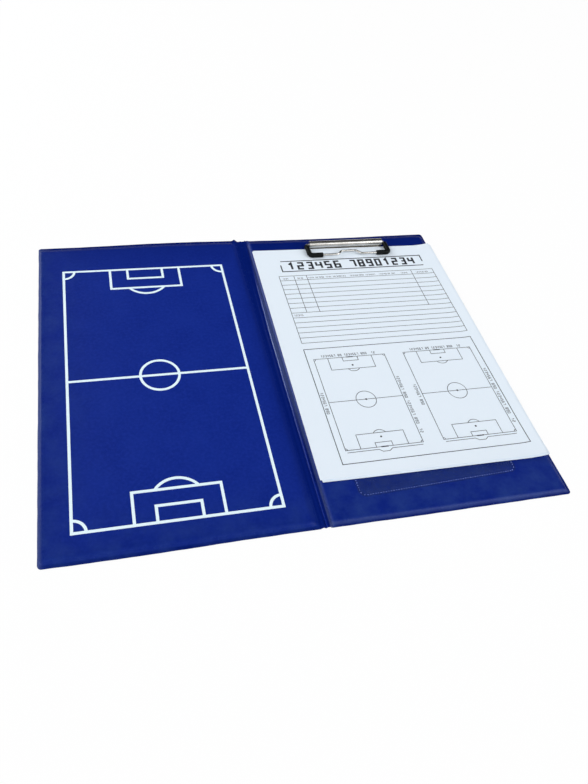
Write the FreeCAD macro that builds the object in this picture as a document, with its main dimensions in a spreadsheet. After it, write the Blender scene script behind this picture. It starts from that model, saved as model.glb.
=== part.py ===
import FreeCAD
import Part
import Sketcher
import math
import os
from types import SimpleNamespace

# A fold-over tactics board: two boards sealed in vinyl, joined by a soft spine that creases on both sides.
# The left panel carries a printed pitch, the right one a wire-bail clip, a stack of sheets and a clear pocket.
# The origin is the middle of the open folder on the table.
# X runs to the right, Y up the page, Z up from the table.

# Driving dimensions: lengths in millimetres, angles in degrees, and counts
SIZES = [
    ("back_width", 216.8, "right panel, from its crease to its free edge"),
    ("cover_width", 212.8, "left panel, from its crease to its free edge"),
    ("panel_length", 360.0, "panel, along the spine"),
    ("panel_corner", 3.0, "rounding of a panel's free corners"),
    ("skin_thick", 0.45, "vinyl skin"),
    ("board_thick", 2.1, "stiff board inside a panel"),
    ("board_corner", 3.0, "rounding of a board's corners"),
    ("flange_width", 2.6, "welded edge round a panel"),
    ("crease_flange", 1.0, "welded edge beside a crease"),
    ("slope_run", 5.4, "slanted vinyl between the welded edge and the board"),
    ("spine_width", 8.4, "distance between the two creases"),
    ("crease_clearance", 0.3, "room between a crease's bead and the spine's edge"),
    ("rib_radius", 0.4, "half-round rib pressed along the spine"),
    ("rib_offset", 1.4, "rib, from the spine's middle"),
    ("pitch_width", 162.6, "pitch, between its side lines"),
    ("pitch_length", 295.0, "pitch, between its goal lines"),
    ("pitch_from_crease", 106.8, "pitch's middle, from the left crease"),
    ("pitch_drop", 9.7, "pitch's middle, below the panel's middle"),
    ("line_width", 2.4, "printed line"),
    ("ink_thick", 0.12, "printed line's height"),
    ("penalty_width", 70.8, "penalty area, across the pitch"),
    ("penalty_depth", 28.6, "penalty area, from the goal line"),
    ("goal_width", 35.6, "goal area, across the pitch"),
    ("goal_depth", 14.4, "goal area, from the goal line"),
    ("circle_radius", 17.5, "centre circle"),
    ("arc_radius", 21.6, "penalty arc"),
    ("arc_rise", 9.0, "penalty arc's reach beyond the penalty area"),
    ("quarter_radius", 10.5, "corner arc"),
    ("pocket_width", 147.0, "pocket film, across the panel"),
    ("pocket_length", 100.0, "pocket film, along the panel"),
    ("pocket_corner", 6.0, "rounding of the pocket's corners"),
    ("pocket_from_crease", 103.8, "pocket's middle, from the right crease"),
    ("pocket_foot", 24.0, "panel's lower edge to the pocket's lower edge"),
    ("pocket_turn", 2.2, "angle at which the pocket is welded on"),
    ("pocket_seam", 3.0, "welded edge of the pocket"),
    ("pocket_slope", 2.0, "slanted film inside the seam"),
    ("film_thick", 0.25, "pocket film"),
    ("sheet_width", 210.0, "paper sheet, A4"),
    ("sheet_length", 297.0, "paper sheet, A4"),
    ("sheet_thick", 0.1, "paper sheet"),
    ("lower_sheet_count", 5, "sheets under the top one"),
    ("sheet_from_crease", 2.5, "middle of the top sheet's side edge, from the right crease"),
    ("sheet_turn", 0.4, "angle at which the sheets lie, clockwise"),
    ("sheet_clearance", 0.6, "top sheet's head, in front of the barrel"),
    ("fan_across", 1.9, "lowest sheet's shift across, from the top sheet"),
    ("fan_down", 1.6, "lowest sheet's shift down the page, from the top sheet"),
    ("fan_power", 3, "how steeply the shift grows towards the lowest sheet"),
    ("clip_from_crease", 113.8, "clip's middle, from the right crease"),
    ("clip_setback", 19.0, "barrel's axis, from the panel's upper edge"),
    ("barrel_length", 87.0, "clip plate and its barrel, across the panel"),
    ("barrel_radius", 4.0, "barrel's outside"),
    ("curl_end", 225.0, "angle at which the rolled edge ends, from the back of the barrel"),
    ("plate_thick", 0.7, "plate steel"),
    ("plate_reach", 26.0, "plate's front edge, from the barrel's axis"),
    ("plate_corner", 3.0, "rounding of the plate's front corners"),
    ("collar_length", 2.0, "barrel's end, crimped round the wire"),
    ("collar_bite", 0.3, "crimped end's hold in the barrel's wall"),
    ("rivet_spacing", 56.0, "distance between the two rivets"),
    ("rivet_setback", 11.0, "rivets, in front of the barrel's axis"),
    ("rivet_radius", 1.6, "rivet's shank"),
    ("head_radius", 3.0, "rivet's flush head"),
    ("tail_radius", 2.4, "rivet's closed tail"),
    ("tail_thick", 0.4, "rivet's closed tail"),
    ("rivet_clearance", 0.05, "room round the rivet and its washer"),
    ("washer_radius", 3.8, "washer under the board"),
    ("washer_thick", 0.4, "washer under the board"),
    ("wire_radius", 1.2, "bail wire"),
    ("journal_length", 14.0, "bail wire inside each end of the barrel"),
    ("journal_clearance", 0.05, "room round the wire in the barrel's crimped end"),
    ("arm_gap", 3.3, "barrel's end to the middle of the bail's arm"),
    ("arm_bend", 2.0, "bend between the barrel and the arm, at the wire's middle"),
    ("bail_reach", 18.5, "bail's front leg, from the barrel's axis"),
    ("bail_corner", 3.6, "bail's front corner, at the wire's middle"),
    ("wave_width", 32.0, "finger wave in the front leg"),
    ("wave_height", 5.5, "finger wave in the front leg"),
    ("wave_run", 10.0, "each slope of the finger wave"),
    ("sleeve_radius", 2.7, "grip sleeve's outside"),
    ("sleeve_clearance", 0.02, "room between the sleeve and the wire"),
    ("sleeve_setback", 2.6, "sleeve's upper end, in front of the barrel's axis"),
    ("sleeve_leg", 14.6, "sleeve's reach along the front leg, from the arm's middle"),
    ("grip_clearance", 0.05, "sleeve above the top sheet"),
    ("overrun", 2.0, "how far a cut runs past what it cuts"),
]


class Size:
    """A length that knows its value and the sheet formula that gives it."""

    def __init__(self, value, formula):
        self.value = value
        self.formula = formula

    def joined(self, sign, other, value):
        return Size(value, "(%s %s %s)" % (self.formula, sign, other.formula))

    def __add__(self, other):
        return self.joined("+", other, self.value + other.value)

    def __sub__(self, other):
        return self.joined("-", other, self.value - other.value)

    def __neg__(self):
        return Size(-self.value, "(-%s)" % self.formula)

    def __mul__(self, count):
        return Size(self.value * count, "(%s * %s)" % (self.formula, count))

    def __truediv__(self, count):
        return Size(self.value / count, "(%s / %s)" % (self.formula, count))

    __rmul__ = __mul__


doc = FreeCAD.newDocument("tactics_board")
sheet = doc.addObject("Spreadsheet::Sheet", "Sizes")
for row, (alias, number, meaning) in enumerate(SIZES, start=1):
    sheet.set("A%d" % row, meaning)
    sheet.set("B%d" % row, str(number))
    sheet.setAlias("B%d" % row, alias)
doc.recompute()
size = SimpleNamespace(**{alias: Size(number, "Sizes." + alias) for alias, number, meaning in SIZES})
ZERO = Size(0, "0")

# Places that several pieces share
half_length = size.panel_length / 2
spine_place = (size.cover_width - size.back_width) / 2
right_crease = spine_place + size.spine_width / 2
left_crease = spine_place - size.spine_width / 2
seam_height = size.skin_thick
face_height = 2 * size.skin_thick + size.board_thick
clip_place = right_crease + size.clip_from_crease
barrel_place = half_length - size.clip_setback
barrel_height = face_height + size.barrel_radius
bore_radius = size.barrel_radius - size.plate_thick
plate_top = face_height + size.plate_thick
top_sheet_under = plate_top + size.lower_sheet_count.value * size.sheet_thick
top_sheet_top = top_sheet_under + size.sheet_thick
sheet_head = barrel_place - size.barrel_radius - size.sheet_clearance
arm_place = size.barrel_length / 2 + size.arm_gap
leg_height = top_sheet_top + size.grip_clearance + size.sleeve_radius
SIDES = (-1, 1)
UPWARD = FreeCAD.Vector(0, 0, 1)
SAME_PLACE = 1e-6

nodes = []


# Small helpers that bind a feature to the sheet

def bind(target, **lengths):
    for name, length in lengths.items():
        target.setExpression(name, length.formula)


def place(target, x=ZERO, y=ZERO, z=ZERO, turn=None):
    corner = FreeCAD.Vector(x.value, y.value, z.value)
    target.Placement = FreeCAD.Placement(corner, turn or FreeCAD.Rotation())
    for axis, length in zip("xyz", (x, y, z)):
        target.setExpression("Placement.Base." + axis, length.formula)


def keep(piece, label):
    piece.Label = label
    nodes.append(piece)
    return piece


def new_body(label):
    return keep(doc.addObject("PartDesign::Body", label), label)


def new_sketch(body, name, role="XY_Plane", lift=ZERO):
    sketch = body.newObject("Sketcher::SketchObject", body.Label + "_" + name)
    planes = [feature for feature in body.Origin.OriginFeatures if feature.Role == role]
    sketch.AttachmentSupport = [(planes[0], "")]
    sketch.MapMode = "FlatFace"
    sketch.AttachmentOffset = FreeCAD.Placement(FreeCAD.Vector(0, 0, lift.value), FreeCAD.Rotation())
    sketch.setExpression("AttachmentOffset.Base.z", lift.formula)
    return sketch


def dimension(sketch, kind, where, length):
    index = sketch.addConstraint(Sketcher.Constraint(kind, *where, length.value))
    sketch.setExpression("Constraints[%d]" % index, length.formula)


def point(across, along):
    return FreeCAD.Vector(across, along, 0)


def arc(centre, radius, start, end):
    """An arc drawn anticlockwise between two angles in degrees."""
    circle = Part.Circle(centre, UPWARD, radius)
    return Part.ArcOfCircle(circle, math.radians(start), math.radians(end))


def add_circle(sketch, radius, across=ZERO, along=ZERO):
    centre = point(across.value, along.value)
    index = sketch.addGeometry(Part.Circle(centre, UPWARD, radius.value))
    dimension(sketch, "Radius", (index,), radius)
    dimension(sketch, "DistanceX", (-1, 1, index, 3), across)
    dimension(sketch, "DistanceY", (-1, 1, index, 3), along)


def add_rectangle(sketch, left, right, low, high):
    west, east, south, north = left.value, right.value, low.value, high.value
    corners = [point(west, south), point(east, south), point(east, north), point(west, north)]
    lines = [sketch.addGeometry(Part.LineSegment(corners[k - 1], corners[k])) for k in range(4)]
    for k in range(4):
        sketch.addConstraint(Sketcher.Constraint("Coincident", lines[k - 1], 2, lines[k], 1))
        sketch.addConstraint(Sketcher.Constraint("Horizontal" if k % 2 else "Vertical", lines[k]))
    dimension(sketch, "DistanceX", (-1, 1, lines[0], 1), left)
    dimension(sketch, "DistanceY", (-1, 1, lines[1], 1), low)
    dimension(sketch, "DistanceX", (-1, 1, lines[2], 1), right)
    dimension(sketch, "DistanceY", (-1, 1, lines[3], 1), high)


def add_rounded_rectangle(sketch, left, right, low, high, radius):
    west, east, south, north, bend = left.value, right.value, low.value, high.value, radius.value
    edges = [
        Part.LineSegment(point(west + bend, south), point(east - bend, south)),
        arc(point(east - bend, south + bend), bend, 270, 360),
        Part.LineSegment(point(east, south + bend), point(east, north - bend)),
        arc(point(east - bend, north - bend), bend, 0, 90),
        Part.LineSegment(point(east - bend, north), point(west + bend, north)),
        arc(point(west + bend, north - bend), bend, 90, 180),
        Part.LineSegment(point(west, north - bend), point(west, south + bend)),
        arc(point(west + bend, south + bend), bend, 180, 270),
    ]
    made = [sketch.addGeometry(edge) for edge in edges]
    for k in range(8):
        sketch.addConstraint(Sketcher.Constraint("Tangent", made[k - 1], 2, made[k], 1))
    for k in range(0, 8, 2):
        sketch.addConstraint(Sketcher.Constraint("Vertical" if k % 4 else "Horizontal", made[k]))
    for k in (3, 5, 7):
        sketch.addConstraint(Sketcher.Constraint("Equal", made[1], made[k]))
    dimension(sketch, "Radius", (made[1],), radius)
    dimension(sketch, "DistanceY", (-1, 1, made[0], 1), low)
    dimension(sketch, "DistanceX", (-1, 1, made[2], 1), right)
    dimension(sketch, "DistanceY", (-1, 1, made[4], 1), high)
    dimension(sketch, "DistanceX", (-1, 1, made[6], 1), left)


def add_chain(sketch, edges):
    """Adds edges that run on smoothly from one to the next, and returns their numbers."""
    made = [sketch.addGeometry(edge) for edge, first, last in edges]
    for k in range(1, len(made)):
        last = edges[k - 1][2]
        first = edges[k][1]
        sketch.addConstraint(Sketcher.Constraint("Tangent", made[k - 1], last, made[k], first))
    return made


def pad(body, sketch, length, symmetric=False):
    feature = body.newObject("PartDesign::Pad", sketch.Name + "_pad")
    feature.Profile = sketch
    feature.SideType = "Symmetric" if symmetric else "One side"
    bind(feature, Length=length)
    return feature


def loft(body, kind, low_sketch, high_sketch):
    feature = body.newObject("PartDesign::" + kind, low_sketch.Name + "_loft")
    feature.Profile = low_sketch
    feature.Sections = [high_sketch]
    return feature


def pipe(body, profile, path):
    feature = body.newObject("PartDesign::AdditivePipe", profile.Name + "_pipe")
    feature.Profile = profile
    feature.Spine = path
    return feature


def cut_through(body, sketch, length):
    """Cuts a sketch upward through what the body holds above it, and tests that it cut."""
    doc.recompute()
    before = body.Shape.Volume
    feature = body.newObject("PartDesign::Pocket", sketch.Name + "_cut")
    feature.Profile = sketch
    feature.Reversed = True
    bind(feature, Length=length)
    doc.recompute()
    if body.Shape.Volume >= before:
        raise RuntimeError("%s cut nothing" % feature.Name)


def mirror_across(body, feature):
    """Repeats a feature on the other side of the body's middle."""
    doc.recompute()
    mirrored = body.newObject("PartDesign::Mirrored", feature.Name + "_twin")
    mirrored.Originals = [feature]
    planes = [item for item in body.Origin.OriginFeatures if item.Role == "YZ_Plane"]
    mirrored.MirrorPlane = (planes[0], [""])
    body.Tip = mirrored


def round_upright_edges(body, radius, chosen):
    """Rounds the upright edges of the body's last feature that the test picks."""
    doc.recompute()
    base = body.Tip
    names = []
    for number, edge in enumerate(base.Shape.Edges, start=1):
        start = edge.Vertexes[0].Point
        lean = edge.Vertexes[-1].Point.sub(start).cross(UPWARD).Length
        if not edge.isClosed() and lean < SAME_PLACE and chosen(start):
            names.append("Edge%d" % number)
    feature = body.newObject("PartDesign::Fillet", base.Name + "_rounding")
    feature.Base = (base, names)
    bind(feature, Radius=radius)


def box(name, length, width, height, x=ZERO, y=ZERO, z=ZERO):
    """A block whose X and Y place is its middle and whose Z place is its underside."""
    block = doc.addObject("Part::Box", name)
    bind(block, Length=length, Width=width, Height=height)
    place(block, x - length / 2, y - width / 2, z)
    return block


def cylinder(name, radius, height, x=ZERO, y=ZERO, z=ZERO):
    round_bar = doc.addObject("Part::Cylinder", name)
    bind(round_bar, Radius=radius, Height=height)
    place(round_bar, x, y, z)
    return round_bar


def cut(name, base, tool):
    result = doc.addObject("Part::Cut", name)
    result.Base = base
    result.Tool = tool
    return result


def fuse(name, shapes):
    result = doc.addObject("Part::MultiFuse", name)
    result.Shapes = shapes
    result.Refine = True
    return result


def group(name, solids):
    result = doc.addObject("Part::Compound", name)
    result.Links = solids
    return result


# Panels: each is drawn with its crease along Y at X zero and its free edge on the +X side

HALF_TURN = FreeCAD.Rotation(UPWARD, 180)


def panel_place(body, side):
    place(body, x=left_crease if side < 0 else right_crease, turn=HALF_TURN if side < 0 else None)


def panel_width(side):
    return size.cover_width if side < 0 else size.back_width


def flat_skin(body, side, inner_edge, lift):
    """One skin's flat sheet, with its free corners rounded."""
    outline = new_sketch(body, "outline", lift=lift)
    add_rectangle(outline, inner_edge, panel_width(side), -half_length, half_length)
    pad(body, outline, size.skin_thick)
    middle = panel_width(side).value / 2
    round_upright_edges(body, size.panel_corner, lambda corner: corner.x > middle)


def board_outline(sketch, side, inset):
    """The board's edges, or with an inset of minus the slope the foot of the slanted vinyl round it."""
    side_inset = size.flange_width + size.slope_run + inset
    crease_inset = size.crease_flange + size.slope_run + inset
    add_rounded_rectangle(sketch, crease_inset, panel_width(side) - side_inset,
                          side_inset - half_length, half_length - side_inset, size.board_corner)


def outer_skin(label, side):
    body = new_body(label)
    flat_skin(body, side, ZERO, ZERO)
    # The bead where the skins are welded together, which the spine turns about
    bead = new_sketch(body, "bead", "XZ_Plane")
    add_circle(bead, size.skin_thick, along=seam_height)
    pad(body, bead, size.panel_length, symmetric=True)
    panel_place(body, side)
    return body


def board(label, side):
    body = new_body(label)
    outline = new_sketch(body, "outline", lift=seam_height)
    board_outline(outline, side, ZERO)
    pad(body, outline, size.board_thick)
    panel_place(body, side)
    return body


def inner_skin(label, side):
    body = new_body(label)
    flat_skin(body, side, size.skin_thick, seam_height)
    # The vinyl rises from the welded edge over the board, one skin thick all over
    for kind, drop in (("AdditiveLoft", ZERO), ("SubtractiveLoft", size.skin_thick)):
        foot = new_sketch(body, kind + "_foot", lift=2 * size.skin_thick - drop)
        board_outline(foot, side, -size.slope_run)
        crown = new_sketch(body, kind + "_crown", lift=face_height - drop)
        board_outline(crown, side, ZERO)
        loft(body, kind, foot, crown)
    panel_place(body, side)
    return body


def rivet_places():
    for side in SIDES:
        yield side, clip_place + side * (size.rivet_spacing / 2), barrel_place - size.rivet_setback


def rivet_holes(body, radius, lift, depth, name):
    """Holes for the rivets through a piece of the right panel."""
    sketch = new_sketch(body, name, lift=lift)
    for side, x, y in rivet_places():
        add_circle(sketch, radius, x - right_crease, y)
    cut_through(body, sketch, depth)


outer_skin("right_outer_skin", 1)
outer_skin("left_outer_skin", -1)
shank_hole = size.rivet_radius + size.rivet_clearance
right_board = board("right_board", 1)
rivet_holes(right_board, shank_hole, seam_height, size.board_thick + size.overrun, "shank_holes")
rivet_holes(right_board, size.washer_radius + size.rivet_clearance, seam_height,
            size.washer_thick + size.tail_thick, "washer_seats")
board("left_board", -1)
right_inner_skin = inner_skin("right_inner_skin", 1)
rivet_holes(right_inner_skin, shank_hole, seam_height + size.board_thick,
            size.skin_thick + size.overrun, "shank_holes")
inner_skin("left_inner_skin", -1)


# Spine: two skins between the creases, with two ribs pressed along the inner one

def spine_skin(label, lift):
    body = new_body(label)
    half_width = size.spine_width / 2 - size.skin_thick - size.crease_clearance
    outline = new_sketch(body, "outline", lift=lift)
    add_rectangle(outline, -half_width, half_width, -half_length, half_length)
    pad(body, outline, size.skin_thick)
    place(body, x=spine_place)
    return body


def add_rib(body, side):
    sketch = new_sketch(body, "rib_right" if side > 0 else "rib_left", "XZ_Plane")
    middle = side * size.rib_offset.value
    base = 2 * size.skin_thick.value
    reach = size.rib_radius.value
    crown = sketch.addGeometry(arc(point(middle, base), reach, 0, 180))
    chord = sketch.addGeometry(Part.LineSegment(point(middle - reach, base), point(middle + reach, base)))
    sketch.addConstraint(Sketcher.Constraint("Coincident", crown, 2, chord, 1))
    sketch.addConstraint(Sketcher.Constraint("Coincident", crown, 1, chord, 2))
    dimension(sketch, "Radius", (crown,), size.rib_radius)
    dimension(sketch, "DistanceX", (-1, 1, crown, 3), side * size.rib_offset)
    dimension(sketch, "DistanceY", (-1, 1, crown, 3), 2 * size.skin_thick)
    pad(body, sketch, size.panel_length, symmetric=True)


spine_skin("spine_outer_skin", ZERO)
spine_inner = spine_skin("spine_inner_skin", seam_height)
for spine_side in SIDES:
    add_rib(spine_inner, spine_side)


# Pitch print: lines of one width, drawn about the pitch's middle

def outlined(name, width, length, y=ZERO):
    """A rectangle of printed line, measured to the line's middle."""
    outside = box(name + "_outside", width + size.line_width, length + size.line_width, size.ink_thick, y=y)
    inside = box(name + "_inside", width - size.line_width, length - size.line_width, size.ink_thick, y=y)
    return cut(name, outside, inside)


def ring(name, radius, x=ZERO, y=ZERO):
    outside = cylinder(name + "_outside", radius + size.line_width / 2, size.ink_thick, x, y)
    inside = cylinder(name + "_inside", radius - size.line_width / 2, size.ink_thick, x, y)
    return cut(name, outside, inside)


def kept_part(name, base, window):
    result = doc.addObject("Part::Common", name)
    result.Base = base
    result.Tool = window
    return result


def pitch_end(end, name):
    """Goal area, penalty area, penalty arc and corner arcs at one end of the pitch."""
    goal_line = end * (size.pitch_length / 2)
    areas = [
        outlined(name + "_penalty_area", size.penalty_width, size.penalty_depth,
                 goal_line - end * (size.penalty_depth / 2)),
        outlined(name + "_goal_area", size.goal_width, size.goal_depth, goal_line - end * (size.goal_depth / 2)),
    ]
    penalty_line = goal_line - end * size.penalty_depth
    spot = penalty_line + end * (size.arc_radius - size.arc_rise)
    beyond = box(name + "_arc_window", 2 * size.arc_radius, size.arc_radius, size.ink_thick,
                 y=penalty_line - end * (size.arc_radius / 2))
    areas.append(kept_part(name + "_arc", ring(name + "_arc_ring", size.arc_radius, y=spot), beyond))
    for side in SIDES:
        corner_name = name + ("_right" if side > 0 else "_left") + "_quarter"
        side_line = side * (size.pitch_width / 2)
        reach = size.quarter_radius + size.line_width
        corner = box(corner_name + "_window", reach, reach, size.ink_thick,
                     side_line - side * (reach / 2), goal_line - end * (reach / 2))
        whole = ring(corner_name + "_ring", size.quarter_radius, side_line, goal_line)
        areas.append(kept_part(corner_name, whole, corner))
    return areas


pitch_lines = [
    outlined("pitch_border", size.pitch_width, size.pitch_length),
    box("halfway_line", size.pitch_width, size.line_width, size.ink_thick),
    ring("centre_circle", size.circle_radius),
]
pitch_lines += pitch_end(1, "upper")
pitch_lines += pitch_end(-1, "lower")
pitch = keep(fuse("pitch_print", pitch_lines), "pitch_print")
place(pitch, left_crease - size.pitch_from_crease, -size.pitch_drop, face_height)


# Card pocket: a film welded on along three sides, raised inside its seam and open at the upper edge

def card_pocket():
    body = new_body("card_pocket")
    half_width = size.pocket_width / 2

    def outline(name, lift, inset):
        sketch = new_sketch(body, name, lift=lift)
        add_rounded_rectangle(sketch, inset - half_width, half_width - inset,
                              inset, size.pocket_length + size.pocket_corner, size.pocket_corner)
        return sketch

    pad(body, outline("seam", ZERO, ZERO), size.film_thick)
    for kind, drop in (("AdditiveLoft", ZERO), ("SubtractiveLoft", size.film_thick)):
        foot = outline(kind + "_foot", size.film_thick - drop, size.pocket_seam)
        crown = outline(kind + "_crown", size.plate_thick - drop, size.pocket_seam + size.pocket_slope)
        loft(body, kind, foot, crown)
    mouth = new_sketch(body, "mouth", lift=-size.overrun)
    add_rectangle(mouth, -half_width - size.overrun, half_width + size.overrun,
                  size.pocket_length, size.pocket_length + size.pocket_corner + size.overrun)
    cut_through(body, mouth, size.plate_thick + 2 * size.overrun)
    turn = FreeCAD.Rotation(UPWARD, size.pocket_turn.value)
    place(body, right_crease + size.pocket_from_crease, size.pocket_foot - half_length, face_height, turn)


card_pocket()


# Sheets: the printed top sheet and the loose ones under it, which fan out a little

def paper(label, number):
    """One sheet of the stack, numbered down from the top one at zero."""
    share = (number / size.lower_sheet_count.value) ** size.fan_power.value
    x = right_crease + size.sheet_from_crease + size.sheet_width / 2 + share * size.fan_across
    y = sheet_head - size.sheet_length / 2 - share * size.fan_down
    z = top_sheet_under - number * size.sheet_thick
    body = new_body(label)
    outline = new_sketch(body, "outline")
    add_rectangle(outline, -size.sheet_width / 2, size.sheet_width / 2,
                  -size.sheet_length / 2, size.sheet_length / 2)
    pad(body, outline, size.sheet_thick)
    place(body, x, y, z, FreeCAD.Rotation(UPWARD, -size.sheet_turn.value))


paper("top_sheet", 0)
for sheet_number in range(1, size.lower_sheet_count.value + 1):
    paper("lower_sheet_%d" % sheet_number, sheet_number)


# Clip plate: steel strip whose back edge rolls up, over and down into a barrel, drawn about the barrel's axis

def clip_plate():
    body = new_body("clip_plate")
    profile = new_sketch(body, "profile", "YZ_Plane")
    outer, bore, reach = size.barrel_radius.value, bore_radius.value, size.plate_reach.value
    end = math.radians(size.curl_end.value)
    lip = point(math.cos(end), math.sin(end))
    origin = point(0, 0)
    outside = profile.addGeometry(arc(origin, outer, -90, size.curl_end.value))
    inside = profile.addGeometry(arc(origin, bore, -90, size.curl_end.value))
    edge = profile.addGeometry(Part.LineSegment(lip * outer, lip * bore))
    top = profile.addGeometry(Part.LineSegment(point(0, -bore), point(-reach, -bore)))
    front = profile.addGeometry(Part.LineSegment(point(-reach, -bore), point(-reach, -outer)))
    under = profile.addGeometry(Part.LineSegment(point(-reach, -outer), point(0, -outer)))
    joints = ((outside, 2, edge, 1), (edge, 2, inside, 2), (top, 2, front, 1), (front, 2, under, 1))
    for joint in joints:
        profile.addConstraint(Sketcher.Constraint("Coincident", *joint))
    profile.addConstraint(Sketcher.Constraint("Tangent", inside, 1, top, 1))
    profile.addConstraint(Sketcher.Constraint("Tangent", under, 2, outside, 1))
    profile.addConstraint(Sketcher.Constraint("Horizontal", top))
    profile.addConstraint(Sketcher.Constraint("Vertical", front))
    for curl in (outside, inside):
        profile.addConstraint(Sketcher.Constraint("Coincident", curl, 3, -1, 1))
    dimension(profile, "Radius", (outside,), size.barrel_radius)
    dimension(profile, "Radius", (inside,), bore_radius)
    dimension(profile, "DistanceX", (-1, 1, front, 1), -size.plate_reach)
    pad(body, profile, size.barrel_length, symmetric=True)
    round_upright_edges(body, size.plate_corner, lambda corner: corner.y < 0)
    # The barrel's ends are crimped in round the wire
    collar = new_sketch(body, "collar", "YZ_Plane", size.barrel_length / 2 - size.collar_length)
    add_circle(collar, bore_radius + size.collar_bite)
    add_circle(collar, size.wire_radius + size.journal_clearance)
    mirror_across(body, pad(body, collar, size.collar_length))
    # Countersunk holes for the rivets
    for side in SIDES:
        name = "rivet_sink_right" if side > 0 else "rivet_sink_left"
        sink = body.newObject("PartDesign::SubtractiveCone", name)
        bind(sink, Radius1=shank_hole, Radius2=size.head_radius + size.rivet_clearance,
             Height=size.plate_thick)
        place(sink, side * (size.rivet_spacing / 2), -size.rivet_setback, -size.barrel_radius)
    place(body, clip_place, barrel_place, barrel_height)


clip_plate()


# Rivets and washers: a flush head in the plate, a shank through skin and board, a tail closed on a washer

def rivet(side, x, y):
    name = "rivet_right" if side > 0 else "rivet_left"
    head = doc.addObject("Part::Cone", name + "_head")
    bind(head, Radius1=size.rivet_radius, Radius2=size.head_radius, Height=size.plate_thick)
    place(head, x, y, face_height)
    shank = cylinder(name + "_shank", size.rivet_radius, size.skin_thick + size.board_thick, x, y, seam_height)
    tail = cylinder(name + "_tail", size.tail_radius, size.tail_thick, x, y, seam_height)
    return fuse(name, [head, shank, tail])


def washer(side, x, y):
    name = "washer_right" if side > 0 else "washer_left"
    lift = seam_height + size.tail_thick
    disc = cylinder(name + "_disc", size.washer_radius, size.washer_thick, x, y, lift)
    hole = cylinder(name + "_hole", shank_hole, size.washer_thick, x, y, lift)
    return cut(name, disc, hole)


keep(group("clip_rivets", [rivet(*where) for where in rivet_places()]), "clip_rivets")
keep(group("rivet_washers", [washer(*where) for where in rivet_places()]), "rivet_washers")


# Bail: one sprung wire, drawn flat about the barrel's axis, with its front leg on the -Y side

def bail_place(body):
    """Tips the bail about the barrel's axis until its sleeves meet the top sheet."""
    rise = leg_height.value - barrel_height.value
    tilt = -math.degrees(math.asin(rise / size.bail_reach.value))
    turn = FreeCAD.Rotation(FreeCAD.Vector(1, 0, 0), tilt)
    place(body, clip_place, barrel_place, barrel_height, turn)


def arm_edges(side, leg_end, upper_end, from_journal):
    """Edges of one arm and its bends, from the barrel's end or the sleeve's end to a point on the front leg."""
    arm, bend = arm_place.value, size.arm_bend.value
    corner, reach = size.bail_corner.value, size.bail_reach.value
    edges = []
    if from_journal:
        start = (size.barrel_length - 2 * size.journal_length).value / 2
        journal = Part.LineSegment(point(side * start, 0), point(side * (arm - bend), 0))
        elbow = arc(point(side * (arm - bend), -bend), bend, *((0, 90) if side > 0 else (90, 180)))
        edges += [(journal, 1, 2), (elbow, 2, 1) if side > 0 else (elbow, 1, 2)]
    upright = Part.LineSegment(point(side * arm, -upper_end), point(side * arm, corner - reach))
    turn = arc(point(side * (arm - corner), corner - reach), corner, *((270, 360) if side > 0 else (180, 270)))
    leg = Part.LineSegment(point(side * (arm - corner), -reach), point(side * leg_end, -reach))
    edges += [(upright, 1, 2), (turn, 2, 1) if side > 0 else (turn, 1, 2), (leg, 1, 2)]
    return edges


def wave_edges():
    """The finger wave, from its right foot over the crest to its left foot, in arcs of one radius."""
    rise, run, foot = size.wave_height.value, size.wave_run.value, size.wave_width.value / 2
    reach = size.bail_reach.value
    bend = 2 * math.degrees(math.atan2(rise, run))
    radius = run / (2 * math.sin(math.radians(bend)))
    crest = foot - run
    level = rise - reach
    return [
        (arc(point(foot, radius - reach), radius, 270 - bend, 270), 2, 1),
        (arc(point(crest, level - radius), radius, 90 - bend, 90), 1, 2),
        (Part.LineSegment(point(crest, level), point(-crest, level)), 1, 2),
        (arc(point(-crest, level - radius), radius, 90, 90 + bend), 1, 2),
        (arc(point(-foot, radius - reach), radius, 270, 270 + bend), 2, 1),
    ]


def bail_wire():
    body = new_body("bail_wire")
    path = new_sketch(body, "path")
    foot = size.wave_width.value / 2
    right = arm_edges(1, foot, size.arm_bend.value, True)
    outward = arm_edges(-1, foot, size.arm_bend.value, True)
    left = [(edge, last, first) for edge, first, last in reversed(outward)]
    made = add_chain(path, right + wave_edges() + left)
    journal, elbow, upright, corner, leg = made[:len(right)]
    path.addConstraint(Sketcher.Constraint("Horizontal", journal))
    path.addConstraint(Sketcher.Constraint("Vertical", upright))
    start = size.barrel_length / 2 - size.journal_length
    dimension(path, "DistanceX", (-1, 1, journal, 1), start)
    dimension(path, "DistanceY", (-1, 1, journal, 1), ZERO)
    dimension(path, "DistanceX", (-1, 1, upright, 1), arm_place)
    dimension(path, "DistanceY", (-1, 1, leg, 2), -size.bail_reach)
    dimension(path, "Radius", (elbow,), size.arm_bend)
    dimension(path, "Radius", (corner,), size.bail_corner)
    dimension(path, "DistanceX", (-1, 1, leg, 2), size.wave_width / 2)
    section = new_sketch(body, "section", "YZ_Plane", start)
    add_circle(section, size.wire_radius)
    pipe(body, section, path)
    bail_place(body)


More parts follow.
